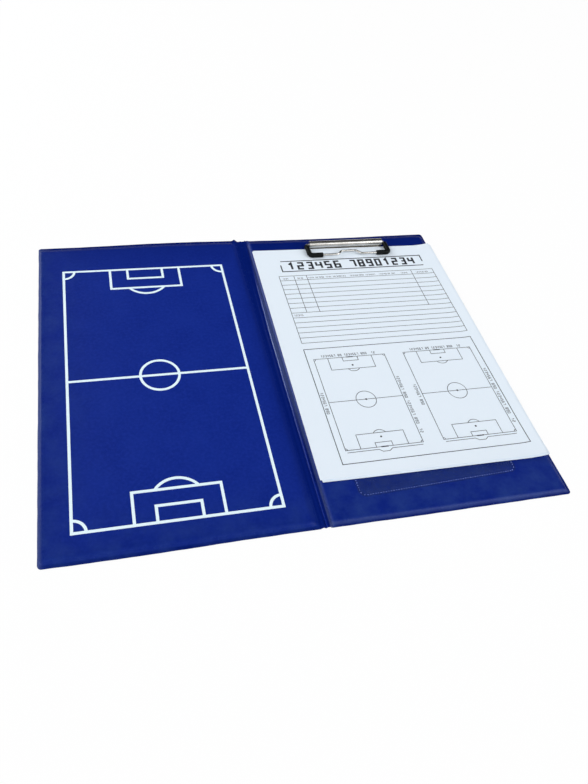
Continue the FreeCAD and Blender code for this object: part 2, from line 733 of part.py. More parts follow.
def grip_sleeve(label, side):
    body = new_body(label)
    path = new_sketch(body, "path")
    leg_end = (arm_place - size.sleeve_leg).value
    upright, corner, leg = add_chain(path, arm_edges(side, leg_end, size.sleeve_setback.value, False))
    path.addConstraint(Sketcher.Constraint("Vertical", upright))
    dimension(path, "DistanceX", (-1, 1, upright, 1), side * arm_place)
    dimension(path, "DistanceY", (-1, 1, upright, 1), -size.sleeve_setback)
    dimension(path, "DistanceY", (-1, 1, leg, 2), -size.bail_reach)
    dimension(path, "DistanceX", (-1, 1, leg, 2), side * (arm_place - size.sleeve_leg))
    dimension(path, "Radius", (corner,), size.bail_corner)
    section = new_sketch(body, "section", "XZ_Plane", size.sleeve_setback)
    add_circle(section, size.sleeve_radius, side * arm_place)
    add_circle(section, size.wire_radius + size.sleeve_clearance, side * arm_place)
    pipe(body, section, path)
    bail_place(body)


bail_wire()
grip_sleeve("left_grip_sleeve", -1)
grip_sleeve("right_grip_sleeve", 1)


# Every feature and every piece is tested before anything is written

doc.recompute()
for item in doc.Objects:
    if "Invalid" in item.State or "Error" in item.State:
        raise RuntimeError("%s failed: %s" % (item.Name, item.State))
for piece in nodes:
    if piece.Shape.isNull() or not piece.Shape.isValid() or not piece.Shape.Solids:
        raise RuntimeError("%s has no valid solid" % piece.Label)

os.makedirs("parts", exist_ok=True)
for piece in nodes:
    piece.Shape.exportStep(os.path.join("parts", piece.Label + ".step"))
    print("%s: %d solids, %.1f mm3" % (piece.Label, len(piece.Shape.Solids), piece.Shape.Volume))
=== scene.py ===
"""Looks of a fold-over tactics board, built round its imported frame. Lengths are in metres."""

import math

import bmesh
import bpy
import numpy as np
from mathutils import Matrix, Vector


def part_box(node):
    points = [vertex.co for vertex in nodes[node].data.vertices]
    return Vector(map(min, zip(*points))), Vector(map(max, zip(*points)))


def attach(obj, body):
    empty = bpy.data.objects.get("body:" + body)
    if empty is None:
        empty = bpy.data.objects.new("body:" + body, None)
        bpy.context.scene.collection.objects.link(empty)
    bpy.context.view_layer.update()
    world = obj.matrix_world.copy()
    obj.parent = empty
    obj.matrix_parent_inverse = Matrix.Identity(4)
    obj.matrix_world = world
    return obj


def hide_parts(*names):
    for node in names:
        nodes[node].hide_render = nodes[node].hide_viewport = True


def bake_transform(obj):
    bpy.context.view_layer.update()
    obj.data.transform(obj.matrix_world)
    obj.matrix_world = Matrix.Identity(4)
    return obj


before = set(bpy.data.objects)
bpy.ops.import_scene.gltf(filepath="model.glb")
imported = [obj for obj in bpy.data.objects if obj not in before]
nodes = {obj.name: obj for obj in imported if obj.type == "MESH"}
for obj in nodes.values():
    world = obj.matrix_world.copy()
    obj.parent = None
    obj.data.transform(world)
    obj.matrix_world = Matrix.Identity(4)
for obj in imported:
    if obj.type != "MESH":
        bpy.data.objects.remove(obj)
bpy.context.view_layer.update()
scene = bpy.context.scene
MM = 0.001
SIDES = (-1, 1)

# Sizes of the folder, read from the frame where it gives them
right_low, right_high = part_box("right_inner_skin")
spine_low, spine_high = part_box("spine_inner_skin")
SPINE_STOP = 0.75 * MM
SPINE_MIDDLE = (spine_low[0] + spine_high[0]) / 2
SPINE_HALF = (spine_high[0] - spine_low[0]) / 2 + SPINE_STOP
FREE_EDGE = right_high[0]
HALF_LENGTH = right_high[1]
FACE = right_high[2]
SKIN = right_low[2]
CORNER = 3.0 * MM
FLANGE = 2.6 * MM
CREASE_FLANGE = 0.9 * MM
SLOPE_RUN = 5.4 * MM
SPINE_LAP = SPINE_HALF + CREASE_FLANGE


# Shapes that several pieces use

RIPPLE_WAVES = 5
MOTTLE_WAVES = 6
SHARP_EDGE = math.radians(40)


def ripple(place, seed, longest, shortest):
    """A gentle unevenness between minus one and one along a line of places."""
    chance = np.random.default_rng(seed)
    waves = np.geomspace(longest, shortest, RIPPLE_WAVES)
    total = np.zeros_like(place)
    for wave in waves:
        total += np.sin(place * math.tau / wave + chance.uniform(0, math.tau))
    return total / len(waves)


def mottle(x, y, seed, longest, shortest):
    """The same unevenness over a surface."""
    chance = np.random.default_rng(seed)
    waves = np.geomspace(longest, shortest, MOTTLE_WAVES)
    total = np.zeros_like(x)
    for wave in waves:
        heading = chance.uniform(0, math.tau)
        along = x * math.cos(heading) + y * math.sin(heading)
        total += np.sin(along * math.tau / wave + chance.uniform(0, math.tau))
    return total / len(waves)


def bell(value, middle, reach):
    """One at the middle of a band, falling off over its reach to both sides."""
    return np.exp(-(((value - middle) / reach) ** 2))


def progress(value, start, end):
    """How far a value has come from start to end, held between zero and one."""
    return np.clip((value - start) / (end - start), 0, 1)


def eased_rise(value, rounding):
    """Zero below zero and the value itself above it, rounded over where the two meet."""
    curve = (value + rounding) ** 2 / (4 * rounding)
    return np.where(value < -rounding, 0, np.where(value > rounding, value, curve))


def ramp(value, start, end, rounding):
    """A straight rise from zero at start to one at end, with rounded ends."""
    return (eased_rise(value - start, rounding) - eased_rise(value - end, rounding)) / (end - start)


def stations(low, high, fine, step):
    """Places from low to high: fine offsets in from both ends, and a step apart between them."""
    near = low + fine
    far = (high - fine)[::-1]
    count = max(2, round((far[0] - near[-1]) / step))
    between = np.linspace(near[-1], far[0], count + 1)[1:-1]
    return np.concatenate([near, between, far])


def rounded_corner(x, y, corner, outward, radius):
    """Draws the points of a square corner in until its outline is an arc."""
    inner = (corner[0] - outward[0] * radius, corner[1] - outward[1] * radius)
    across = (x - inner[0]) * outward[0] / radius
    along = (y - inner[1]) * outward[1] / radius
    inside = (across > 0) & (along > 0)
    new_x = inner[0] + outward[0] * radius * across * np.sqrt(np.maximum(1 - along ** 2 / 2, 0))
    new_y = inner[1] + outward[1] * radius * along * np.sqrt(np.maximum(1 - across ** 2 / 2, 0))
    return np.where(inside, new_x, x), np.where(inside, new_y, y)


def edge_distance(x, y, low, high, radius):
    """How far inside the edges of a rounded rectangle each point lies."""
    past_x = np.abs(x - (low[0] + high[0]) / 2) - (high[0] - low[0]) / 2 + radius
    past_y = np.abs(y - (low[1] + high[1]) / 2) - (high[1] - low[1]) / 2 + radius
    outside = np.hypot(np.maximum(past_x, 0), np.maximum(past_y, 0))
    return radius - outside - np.minimum(np.maximum(past_x, past_y), 0)


def new_object(name, data):
    """An object made of the given data, put in the scene."""
    made = bpy.data.objects.new(name, data)
    scene.collection.objects.link(made)
    return made


def new_piece(name, points, faces, material):
    """A mesh object with outward faces, smooth apart from its sharp edges."""
    mesh = bpy.data.meshes.new(name)
    mesh.from_pydata(points, [], faces)
    shape = bmesh.new()
    shape.from_mesh(mesh)
    bmesh.ops.recalc_face_normals(shape, faces=shape.faces)
    shape.to_mesh(mesh)
    shape.free()
    mesh.polygons.foreach_set("use_smooth", [True] * len(mesh.polygons))
    mesh.set_sharp_from_angle(angle=SHARP_EDGE)
    mesh.materials.append(material)
    return new_object(name, mesh)


def closed_skin(name, x, y, top, under, material):
    """A closed skin between two heights over one grid of places."""
    rows, columns = x.shape
    count = rows * columns
    points = np.concatenate([np.stack([x, y, z], axis=-1).reshape(-1, 3) for z in (top, under)])
    index = np.arange(count).reshape(rows, columns)
    corners = [index[:-1, :-1], index[1:, :-1], index[1:, 1:], index[:-1, 1:]]
    quads = np.stack(corners, axis=-1).reshape(-1, 4)
    rim = np.concatenate([index[:, 0], index[-1, 1:], index[-2::-1, -1], index[0, -2:0:-1]])
    following = np.roll(rim, -1)
    walls = np.stack([rim, following, following + count, rim + count], axis=-1)
    faces = np.concatenate([quads, quads[:, ::-1] + count, walls])
    return new_piece(name, points, faces.tolist(), material)


def mark_skin(piece, marks):
    """Keeps named numbers for each place on both faces of a skin, for its material to read."""
    for name, values in marks.items():
        attribute = piece.data.attributes.new(name, "FLOAT", "POINT")
        attribute.data.foreach_set("value", np.tile(np.asarray(values, np.float32).ravel(), 2))


# Materials

WHITE = (1, 1, 1, 1)
CELL_SMOOTHNESS = 0.6

# Levels that most of a noise lies between, and the sockets of a mix node that carry colours
NOISE_LOW, NOISE_HIGH = 0.3, 0.7
MIX_FIRST, MIX_SECOND, MIX_RESULT = 6, 7, 2


class Nodes:
    """The node tree of a material or a world."""

    def __init__(self, owner):
        owner.use_nodes = True
        self.tree = owner.node_tree

    def node(self, kind, inputs, **settings):
        made = self.tree.nodes.new(kind)
        for name, value in settings.items():
            setattr(made, name, value)
        self.feed(made, inputs)
        return made

    def feed(self, node, inputs):
        """Links a node's inputs to other nodes' outputs, or holds them at values, where these are given."""
        for socket, value in inputs.items():
            if isinstance(value, bpy.types.NodeSocket):
                self.tree.links.new(value, node.inputs[socket])
            elif value is not None:
                node.inputs[socket].default_value = value


class Surface(Nodes):
    """A node material with one shader, fed by textures measured in the object's own metres."""

    def __init__(self, name, settings):
        self.material = bpy.data.materials.new(name)
        super().__init__(self.material)
        self.shader = self.tree.nodes["Principled BSDF"]
        self.place = self.node("ShaderNodeTexCoord", {}).outputs["Object"]
        self.feed(self.shader, settings)

    def noise(self, grain, detail=3.0, roughness=0.5, stretch=(1, 1, 1)):
        """Cloudy noise whose patches are about one grain across."""
        place = self.node("ShaderNodeMapping", {"Scale": stretch, "Vector": self.place}).outputs["Vector"]
        inputs = {"Scale": 1 / grain, "Detail": detail, "Roughness": roughness, "Vector": place}
        return self.node("ShaderNodeTexNoise", inputs).outputs["Fac"]

    def cells(self, grain):
        """Pebbles about one grain across, lowest along the lines between them."""
        inputs = {"Scale": 1 / grain, "Smoothness": CELL_SMOOTHNESS, "Vector": self.place}
        return self.node("ShaderNodeTexVoronoi", inputs, feature="SMOOTH_F1").outputs["Distance"]

    def attribute(self, name):
        return self.node("ShaderNodeAttribute", {}, attribute_name=name).outputs["Fac"]

    def spread(self, source, low, high, start=NOISE_LOW, end=NOISE_HIGH):
        """Maps start to end of a source onto low to high, and holds it there."""
        inputs = {"Value": source, "From Min": start, "From Max": end, "To Min": low, "To Max": high}
        return self.node("ShaderNodeMapRange", inputs).outputs["Result"]

    def combined(self, operation, first, second):
        return self.node("ShaderNodeMath", {0: first, 1: second}, operation=operation).outputs["Value"]

    def times(self, first, second):
        return self.combined("MULTIPLY", first, second)

    def colours(self, source, low, high, start=NOISE_LOW, end=NOISE_HIGH):
        """Runs a source from one colour at start to another at end."""
        blend = self.node("ShaderNodeValToRGB", {"Fac": source})
        for element, position, colour in zip(blend.color_ramp.elements, (start, end), (low, high)):
            element.position = position
            element.color = (*colour, 1)
        return blend.outputs["Color"]

    def mixed(self, amount, source, colour):
        """Lays a plain colour over a source by an amount that varies."""
        inputs = {"Factor": amount, MIX_FIRST: source, MIX_SECOND: (*colour, 1)}
        return self.node("ShaderNodeMix", inputs, data_type="RGBA").outputs[MIX_RESULT]

    def bump(self, height, depth, strength=1.0, below=None):
        """A bump of the given depth, laid over another one where that is given."""
        inputs = {"Distance": depth, "Strength": strength, "Height": height, "Normal": below}
        return self.node("ShaderNodeBump", inputs).outputs["Normal"]

    def finish(self, colour, roughness=None, normal=None, alpha=None, shine=None):
        self.feed(self.shader, {"Base Color": colour, "Roughness": roughness, "Normal": normal,
                                "Alpha": alpha, "Specular IOR Level": shine})
        return self.material


def make_vinyl():
    surface = Surface("vinyl", {"Specular Tint": (0.62, 0.78, 1.0, 1.0)})
    speck_blue = (0.0085, 0.027, 0.272)
    shade_blue = (0.0010, 0.0082, 0.118)
    sheen_blue = (0.018, 0.046, 0.22)
    scuff_and_highlight_blue = (0.058, 0.082, 0.212)
    patches = surface.noise(34 * MM, 4, 0.6)
    specks = surface.noise(2.8 * MM, 3, 0.6)
    cloudy = surface.colours(patches, (0.0030, 0.0166, 0.208), (0.0050, 0.0220, 0.238))
    speckled = surface.mixed(surface.spread(specks, 0, 0.8, 0.4, 0.75), cloudy, speck_blue)
    # Painted shade: the shadow mark darkens the vinyl towards a deep blue
    shaded = surface.mixed(surface.attribute("shadow"), speckled, shade_blue)
    # Painted sheen: the haze mark lays a paler, greyer blue over the vinyl in patches
    sheen_patches = surface.spread(surface.noise(19 * MM, 5, 0.62), 0, 1, 0.38, 0.66)
    sheened = surface.mixed(surface.times(surface.attribute("haze"), sheen_patches), shaded, sheen_blue)
    # Rubbed edges and painted highlights, laid on together as a paler blue in small patches
    scuffs = surface.spread(surface.noise(1.6 * MM, 4, 0.7), 0.6, 1, 0.35, 0.65)
    scuffed_and_lit = surface.mixed(surface.times(surface.attribute("wear_and_highlight"), scuffs), sheened, scuff_and_highlight_blue)
    grained = surface.spread(surface.noise(4 * MM, 3, 0.6), 0.37, 0.48)
    roughness = surface.times(grained, surface.spread(surface.attribute("polish"), 1.0, 0.6, 0, 1))
    waves = surface.bump(surface.noise(16 * MM, 2, 0.5), 0.3 * MM)
    pimples = surface.bump(surface.noise(2.6 * MM, 2, 0.5), 0.08 * MM, 1.0, waves)
    grain = surface.bump(surface.cells(0.55 * MM), 0.025 * MM, 0.7, pimples)
    # Painted shade also dulls the reflection where the shadow mark is high
    dulled = surface.spread(surface.attribute("shadow"), 0.17, 0.03, 0.0, 0.9)
    glossy = surface.spread(surface.attribute("gloss"), 0.0, 0.8, 0, 1)
    shine = surface.combined("ADD", dulled, glossy)
    return surface.finish(scuffed_and_lit, roughness, grain, shine=shine)


def make_white_ink():
    surface = Surface("white_ink", {"Specular IOR Level": 0.3})
    cover = surface.noise(1.1 * MM, 4, 0.65)
    colour = surface.colours(cover, (0.74, 0.895, 0.99), (0.795, 0.945, 1.0), 0.3, 0.6)
    roughness = surface.spread(surface.noise(2.5 * MM), 0.45, 0.6)
    grain = surface.bump(surface.cells(0.55 * MM), 0.02 * MM, 0.5)
    return surface.finish(colour, roughness, grain)


def make_paper():
    surface = Surface("paper", {"Specular IOR Level": 0.2})
    fibres = surface.noise(0.5 * MM, 4, 0.6, (1, 0.35, 1))
    clouds = surface.noise(60 * MM, 2)
    cloudy = surface.colours(clouds, (0.760, 0.845, 0.935), (0.780, 0.862, 0.950))
    colour = surface.mixed(surface.spread(fibres, 0, 1, 0.35, 0.65), cloudy, (0.795, 0.87, 0.95))
    roughness = surface.spread(fibres, 0.78, 0.92)
    return surface.finish(colour, roughness, surface.bump(fibres, 0.012 * MM, 0.6))


def make_nickel():
    surface = Surface("nickel", {"Metallic": 1.0})
    scratches = surface.noise(0.35 * MM, 4, 0.65, (0.02, 1, 1))
    haze = surface.noise(9 * MM, 3)
    colour = surface.colours(haze, (0.59, 0.575, 0.545), (0.67, 0.655, 0.625))
    roughness = surface.spread(scratches, 0.14, 0.26)
    return surface.finish(colour, roughness, surface.bump(scratches, 0.004 * MM, 0.5))


def make_sleeve():
    surface = Surface("sleeve", {"Specular IOR Level": 0.1})
    scuffs = surface.noise(1.8 * MM, 4, 0.65)
    colour = surface.colours(scuffs, (0.0025, 0.0035, 0.0035), (0.007, 0.0085, 0.0085), 0.35, 0.75)
    roughness = surface.spread(scuffs, 0.36, 0.56)
    return surface.finish(colour, roughness, surface.bump(surface.noise(0.25 * MM, 3), 0.012 * MM))


def make_clear_film():
    surface = Surface("clear_film", {"Specular IOR Level": 0.3})
    haze = surface.noise(7 * MM, 4, 0.6)
    colour = surface.colours(haze, (0.024, 0.046, 0.16), (0.044, 0.078, 0.24))
    roughness = surface.spread(haze, 0.2, 0.34)
    alpha = surface.spread(haze, 0.09, 0.19)
    normal = surface.bump(surface.noise(5 * MM, 2), 0.1 * MM)
    return surface.finish(colour, roughness, normal, alpha)


def make_grained(name, settings, grain, detail, tones, roughness, depth):
    """A material whose colour, roughness and relief all follow one noise."""
    surface = Surface(name, settings)
    noise = surface.noise(grain, *detail)
    colour = surface.colours(noise, *tones)
    return surface.finish(colour, surface.spread(noise, *roughness), surface.bump(noise, depth))


vinyl = make_vinyl()
white_ink = make_white_ink()
paper = make_paper()
nickel = make_nickel()
sleeve_black = make_sleeve()
clear_film = make_clear_film()
black_print = make_grained("black_print", {"Specular IOR Level": 0.3}, 0.3 * MM, (3, 0.6),
                           ((0.012, 0.014, 0.02), (0.035, 0.038, 0.05), 0.35, 0.7), (0.5, 0.7), 0.006 * MM)
rivet_steel = make_grained("rivet_steel", {"Metallic": 1.0}, 0.4 * MM, (3, 0.6),
                           ((0.50, 0.49, 0.47), (0.60, 0.59, 0.57)), (0.28, 0.42), 0.01 * MM)
grey_board = make_grained("grey_board", {"Specular IOR Level": 0.15}, 0.8 * MM, (5, 0.65),
                          ((0.19, 0.17, 0.14), (0.33, 0.30, 0.26)), (0.82, 0.95), 0.05 * MM)
weld = make_grained("weld", {"Specular IOR Level": 0.2}, 0.5 * MM, (3, 0.6),
                    ((0.11, 0.17, 0.58), (0.23, 0.30, 0.82)), (0.25, 0.4), 0.02 * MM)

NODE_MATERIALS = {
    white_ink: ("pitch_print",),
    nickel: ("clip_plate", "bail_wire"),
    sleeve_black: ("left_grip_sleeve", "right_grip_sleeve"),
    rivet_steel: ("clip_rivets", "rivet_washers"),
    grey_board: ("left_board", "right_board"),
}
for node_material, node_names in NODE_MATERIALS.items():
    for node_name in node_names:
        node_slots = nodes[node_name].data.materials
        node_slots.clear()
        node_slots.append(node_material)


# Panels: vinyl skins welded round the board, drawn for the right side and mirrored for the left

EDGE_STEPS = MM * np.array([0, 0.15, 0.35, 0.6, 0.9, 1.2, 1.5, 1.8, 2.1, 2.4, 2.8, 3.2, 3.6, 4.0, 4.6, 5.2,
                            5.8, 6.4, 7.0, 7.6, 8.2, 8.8, 9.6, 10.8, 13.0, 16.0])
PANEL_STEP = 5 * MM

# Cut edge and weld
EDGE_ROUNDING, EDGE_DROP = 0.25 * MM, 0.12 * MM
EDGE_WOBBLE, EDGE_DRAW = 0.22 * MM, 0.4
EDGE_WAVES = (140 * MM, 17 * MM)
WELD_DEPTH, WELD_UNEVEN, UNDER_WELD = 0.035 * MM, 0.4, 0.6
WELD_BAND = (1.7 * MM, 0.45 * MM)
WELD_WAVES = (40 * MM, 6 * MM)

# Rise over the board
FOOT_ROUNDING = 0.4 * MM
HEAD_FLANGE, HEAD_RUN = 0.3 * MM, 9.4 * MM
CREASE_FOOT_ROUNDING = 0.9 * MM
CREASE_SHIFT, CREASE_LEAN = 0.6 * MM, 1.6 * MM
RIGHT_CREASE_RUN = 3.6 * MM
LEFT_CREASE_RUN = 8.0 * MM
TUCK = 0.22 * MM

# Dents, sagging slopes, bulging ends and gathered crease ends
DENT = 0.05 * MM
DENT_WAVES = (120 * MM, 25 * MM)
SAG = 0.2 * MM
SAG_BAND = (FLANGE + SLOPE_RUN / 2, 2.5 * MM)
SAG_WAVES = (70 * MM, 12 * MM)
BULGE_REACH, BULGE_WIDTH = 40 * MM, 75 * MM
PEAK_BAND = (2.2 * MM, 1.6 * MM)
PEAK_REACH, PEAK_PUSH = 5 * MM, 0.7

# Painted shade, rubbed rims with painted highlights, and polish: a fade runs from none to full, and a band
# has a middle and a reach
RIM_SHADE, MARGIN_SHADE, HEAD_RIM_SHADE, FOLD_SHADE = 0.5, 0.45, 0.6, 0.85
RIM_FADE = (3.2 * MM, 1.2 * MM)
HEAD_FADE = (60 * MM, 20 * MM)
HEAD_RIM_FADE = (7 * MM, 0)
SIDE_FADE = (5.76 * MM, 2.16 * MM)
FOLD_FADE = (1.8 * MM, 0.3 * MM)
CREASE_SHADE_REACH = 7 * MM
# The ridge, side and foot bands are painted highlights; the rim band is real scuffing
RIDGE_BRIGHT, RIM_WEAR = 1.8, 0.06
RIDGE_BAND, RIDGE_HIGHLIGHT = (1.8 * MM, 1.8 * MM), (1.8 * MM, 1.4 * MM)
SIDE_BAND, SIDE_HIGHLIGHT = (FREE_EDGE, 5 * MM), (FREE_EDGE, 2.7 * MM)
FOOT_HIGHLIGHT = (1.2 * MM, 1.3 * MM)
WORN_RIM = (0, 0.5 * MM)
POLISHED_CREASE = (1.2 * MM, 3 * MM)
POLISHED_SLOPE = (FLANGE + 1 * MM, 2.5 * MM)

# In each panel, shades are painted shade, the next entry holds strengths of painted highlight, and haze is
# a painted sheen
PANELS = {
    "right": {
        "side": 1, "body": "back_panel", "seed": 11, "peak": 0.35 * MM,
        "bulges": ((1, 95 * MM, -1.3 * MM), (-1, 60 * MM, 0.3 * MM)),
        "slopes": {"side": (1.8 * MM, 5.8 * MM), "foot": (1.6 * MM, 3.4 * MM)},
        "shades": {"crease": 0.0, "side": 0.95, "head": 0.34, "margin": 400 * MM},
        "painted_highlights": {"crease": 0.6, "side": 0.0, "foot": 0.45},
        "haze": {"foot": 0.62, "side": 0.0, "reach": 60 * MM},
    },
    "left": {
        "side": -1, "body": "cover", "seed": 31, "peak": 1.3 * MM,
        "bulges": ((1, 75 * MM, 2.2 * MM), (-1, 165 * MM, 1.1 * MM)),
        "slopes": {"side": (-0.2 * MM, 3.4 * MM), "foot": (2.6 * MM, 4.4 * MM)},
        "shades": {"crease": 0.8, "side": 0.0, "head": 0.1, "margin": 24 * MM},
        "painted_highlights": {"crease": 0.0, "side": 1.0, "foot": 0.0},
        "haze": {"foot": 0.42, "side": 0.42, "reach": 30 * MM},
    },
}


def panel_places(start, seed, bulges):
    """A grid over one panel, its free corners rounded and its free edges a little uneven."""
    x, y = np.meshgrid(stations(start, FREE_EDGE, EDGE_STEPS, PANEL_STEP),
                       stations(-HALF_LENGTH, HALF_LENGTH, EDGE_STEPS, PANEL_STEP), indexing="ij")
    for end in SIDES:
        x, y = rounded_corner(x, y, (FREE_EDGE, end * HALF_LENGTH), (1, end), CORNER)
    free = edge_distance(x, y, (-FREE_EDGE, -HALF_LENGTH), (FREE_EDGE, HALF_LENGTH), CORNER)
    near_side = progress(FREE_EDGE - x, 2 * CORNER, 0)
    near_end = progress(HALF_LENGTH - np.abs(y), 2 * CORNER, 0)
    new_x = x + EDGE_WOBBLE * near_side * (ripple(y, seed, *EDGE_WAVES) - EDGE_DRAW)
    new_y = y + EDGE_WOBBLE * near_end * (ripple(x + y, seed + 1, *EDGE_WAVES) - EDGE_DRAW * np.sign(y))
    for end, middle, bulge in bulges:
        towards = progress(HALF_LENGTH - end * y, BULGE_REACH, 0) ** 2
        new_y += end * bulge * towards * bell(x, middle, BULGE_WIDTH)
    return x, y, new_x, new_y, free


def edge_fall(free):
    """How far a skin's face draws back where its cut edge is rounded over."""
    return EDGE_DROP * progress(free, EDGE_ROUNDING, 0) ** 2


def pillow(gap, run, rounding):
    """A rise from zero to one that is steepest at its foot and eases off over its run."""
    share = progress(eased_rise(gap, rounding), 0, run)
    return 1 - (1 - share) ** 2


def swell(gap, run):
    """A rise from zero to one over its run that is gentle at both ends."""
    share = progress(gap, 0, run)
    return share ** 2 * (3 - 2 * share)


def panel_rise(x, y, slopes):
    """How far the inner skin has risen over the board from its free edges, from zero to one."""
    gaps = {"side": FREE_EDGE - x, "foot": HALF_LENGTH + y}
    rise = swell(HALF_LENGTH - y - HEAD_FLANGE, HEAD_RUN)
    for edge, (flange, run) in slopes.items():
        rise = rise * pillow(gaps[edge] - flange, run, FOOT_ROUNDING)
    return rise


def crease_rise(x, y, lap, side):
    """How far the inner skin has risen from its crease, and each place's distance from its foot there."""
    if side < 0:
        return swell(x - lap + CREASE_FLANGE / 2, LEFT_CREASE_RUN), x - lap
    from_foot = x - lap + CREASE_SHIFT - CREASE_LEAN * y / HALF_LENGTH
    return pillow(from_foot, RIGHT_CREASE_RUN, CREASE_FOOT_ROUNDING), from_foot


def panel_shadow(x, y, free, from_foot, shades, painted_highlights):
    """Painted shade on the vinyl at its edges, its head and its crease, lifted where a highlight is
    painted.
    """
    side_gap = FREE_EDGE - x
    head_gap = HALF_LENGTH - y
    away_from_highlight = 1 - painted_highlights["side"] * bell(x, *SIDE_BAND)
    shadow = MARGIN_SHADE * np.exp(-np.maximum(free - FLANGE, 0) / shades["margin"])
    shadow += RIM_SHADE * progress(free, *RIM_FADE) * away_from_highlight
    shadow += shades["head"] * progress(head_gap, *HEAD_FADE)
    shadow += HEAD_RIM_SHADE * progress(head_gap, *HEAD_RIM_FADE)
    shadow *= 1 - RIDGE_BRIGHT * painted_highlights["crease"] * bell(from_foot, *RIDGE_BAND)
    shadow = np.maximum(shadow, shades["side"] * progress(side_gap, *SIDE_FADE))
    shadow = np.maximum(shadow, shades["crease"] * np.exp(-np.maximum(from_foot, 0) / CREASE_SHADE_REACH))
    return np.clip(np.maximum(shadow, FOLD_SHADE * progress(from_foot, *FOLD_FADE)), 0, 1)


def panel_wear_and_highlight(x, y, free, from_foot, foot_flange, painted_highlights):
    """How much the vinyl is rubbed at its cut edges, plus painted highlights on its crease's ridge, its
    side and its foot.
    """
    foot_gap = HALF_LENGTH + y - foot_flange
    worn_and_lit = RIM_WEAR * bell(free, *WORN_RIM) + painted_highlights["crease"] * bell(from_foot, *RIDGE_HIGHLIGHT)
    worn_and_lit += painted_highlights["side"] * bell(x, *SIDE_HIGHLIGHT) + painted_highlights["foot"] * bell(foot_gap, *FOOT_HIGHLIGHT)
    return np.clip(worn_and_lit, 0, 1)


def panel_skins(name, side, body, seed, peak, bulges, slopes, shades, painted_highlights, haze):
    """The two skins of a panel, drawn outward from the folder's middle and set on their side of it."""
    lap = SPINE_LAP + side * SPINE_MIDDLE
    start = lap - CREASE_FLANGE / 2
    x, y, new_x, new_y, free = panel_places(start, seed, bulges)
    risen, from_foot = crease_rise(x, y, lap, side)
    clear = progress(x, start, lap)
    welded = WELD_DEPTH * bell(free, *WELD_BAND) * (1 + WELD_UNEVEN * ripple(x + y, seed + 2, *WELD_WAVES))
    rise = panel_rise(x, y, slopes) * risen
    dents = DENT * (mottle(x, y, seed + 3, *DENT_WAVES) - 1) / 2 * rise
    sag = SAG * bell(free, *SAG_BAND) * ripple(x - y, seed + 4, *SAG_WAVES)
    gathered = peak * bell(x - lap, *PEAK_BAND) * np.exp((y - HALF_LENGTH) / PEAK_REACH)
    lifted = (FACE - 2 * SKIN) * rise - edge_fall(free) - welded + dents + sag + gathered
    top = 2 * SKIN - TUCK * (1 - clear) + lifted * clear
    under = np.maximum(top - SKIN, SKIN)
    base = edge_fall(free) + UNDER_WELD * welded + TUCK * (1 - clear)
    new_y = new_y + PEAK_PUSH * gathered
    inner = closed_skin(name + "_inner_vinyl", side * new_x, new_y, top, under, vinyl)
    outer = closed_skin(name + "_outer_vinyl", side * new_x, new_y, np.full_like(x, SKIN), base, vinyl)
    at_foot = bell(y, -HALF_LENGTH, haze["reach"])
    at_side = bell(x, FREE_EDGE, haze["reach"])
    # Marks for the vinyl: painted shade, rubbed rims with painted highlights, polish, a painted sheen and
    # gloss
    marks = {
        "shadow": panel_shadow(x, y, free, from_foot, shades, painted_highlights),
        "wear_and_highlight": panel_wear_and_highlight(x, y, free, from_foot, slopes["foot"][0], painted_highlights),
        "polish": np.maximum(bell(from_foot, *POLISHED_CREASE), bell(free, *POLISHED_SLOPE)),
        "haze": np.maximum(haze["foot"] * at_foot, haze["side"] * at_side),
        "gloss": np.zeros_like(x),
    }
    for piece, node in ((inner, "_inner_skin"), (outer, "_outer_skin")):
        mark_skin(piece, marks)
        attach(piece, body)
        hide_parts(name + node)


for panel_name, panel in PANELS.items():
    panel_skins(panel_name, **panel)


# Spine: two halves that meet along its middle, each reaching out to its own crease

SPINE_COLUMNS = 65
SPINE_STEP = 4 * MM
GROOVE_DEPTH, UNDER_GROOVE = 0.08 * MM, 0.3
GROOVE_BAND = (SPINE_HALF, 0.45 * MM)

# Rib that fades out towards the head, and the vinyl that fills the place beside it there
FULL_RIB = 0.62 * MM
RIB_UNEVEN = 0.12
RIB_WAVES = (60 * MM, 12 * MM)
RIB_FADE = (140 * MM, 80 * MM)
DRIFT = 0.2 * MM
DRIFT_WAVES = (150 * MM, 40 * MM)
HEAD_DRIFT = 1.6
HEAD_DRIFT_RUN = (20 * MM, 150 * MM)
UPPER_RUN = (-110 * MM, -20 * MM)
FULL_FILL = 0.5 * MM
FILL_RUN, FILL_ROUNDING = (0.2 * MM, 1.2 * MM), 0.2 * MM
BANK_RUN, BANK_ROUNDING = (SPINE_HALF - 1.2 * MM, SPINE_LAP + 0.6 * MM), 0.4 * MM

# Puckers at the two ends
PUCKER_REACH, PUCKER_WAVE, PUCKER_RISE = 9 * MM, 3.1 * MM, 0.26 * MM
PUCKER_BAND, DRAWN_BAND = (2.2 * MM, 2.0 * MM), (2.2 * MM, 1.8 * MM)
SWAY_ALONG, ALONG_WAVES = 2, (50 * MM, 12 * MM)
SWAY_ACROSS, ACROSS_WAVES = 1.5, (11 * MM, 4 * MM)
END_DRAW, END_WAVES = 0.8 * MM, (9 * MM, 2 * MM)

# Painted shade in the spine's valley, lifted on the rib; rubbed ends, painted highlights on the rib, the
# fill and the bank; and gloss
SPINE_SHADE, RIB_BRIGHT = 0.85, 0.8
END_WEAR, BANK_HIGHLIGHT, PAINTED_GLINT = 0.08, 0.8, 0.8
BANK_HIGHLIGHT_RUN, BANK_HIGHLIGHT_ROUNDING = (SPINE_HALF - 1.4 * MM, SPINE_HALF - 0.4 * MM), 0.2 * MM
GLOSS_BAND = (20 * MM, 75 * MM)

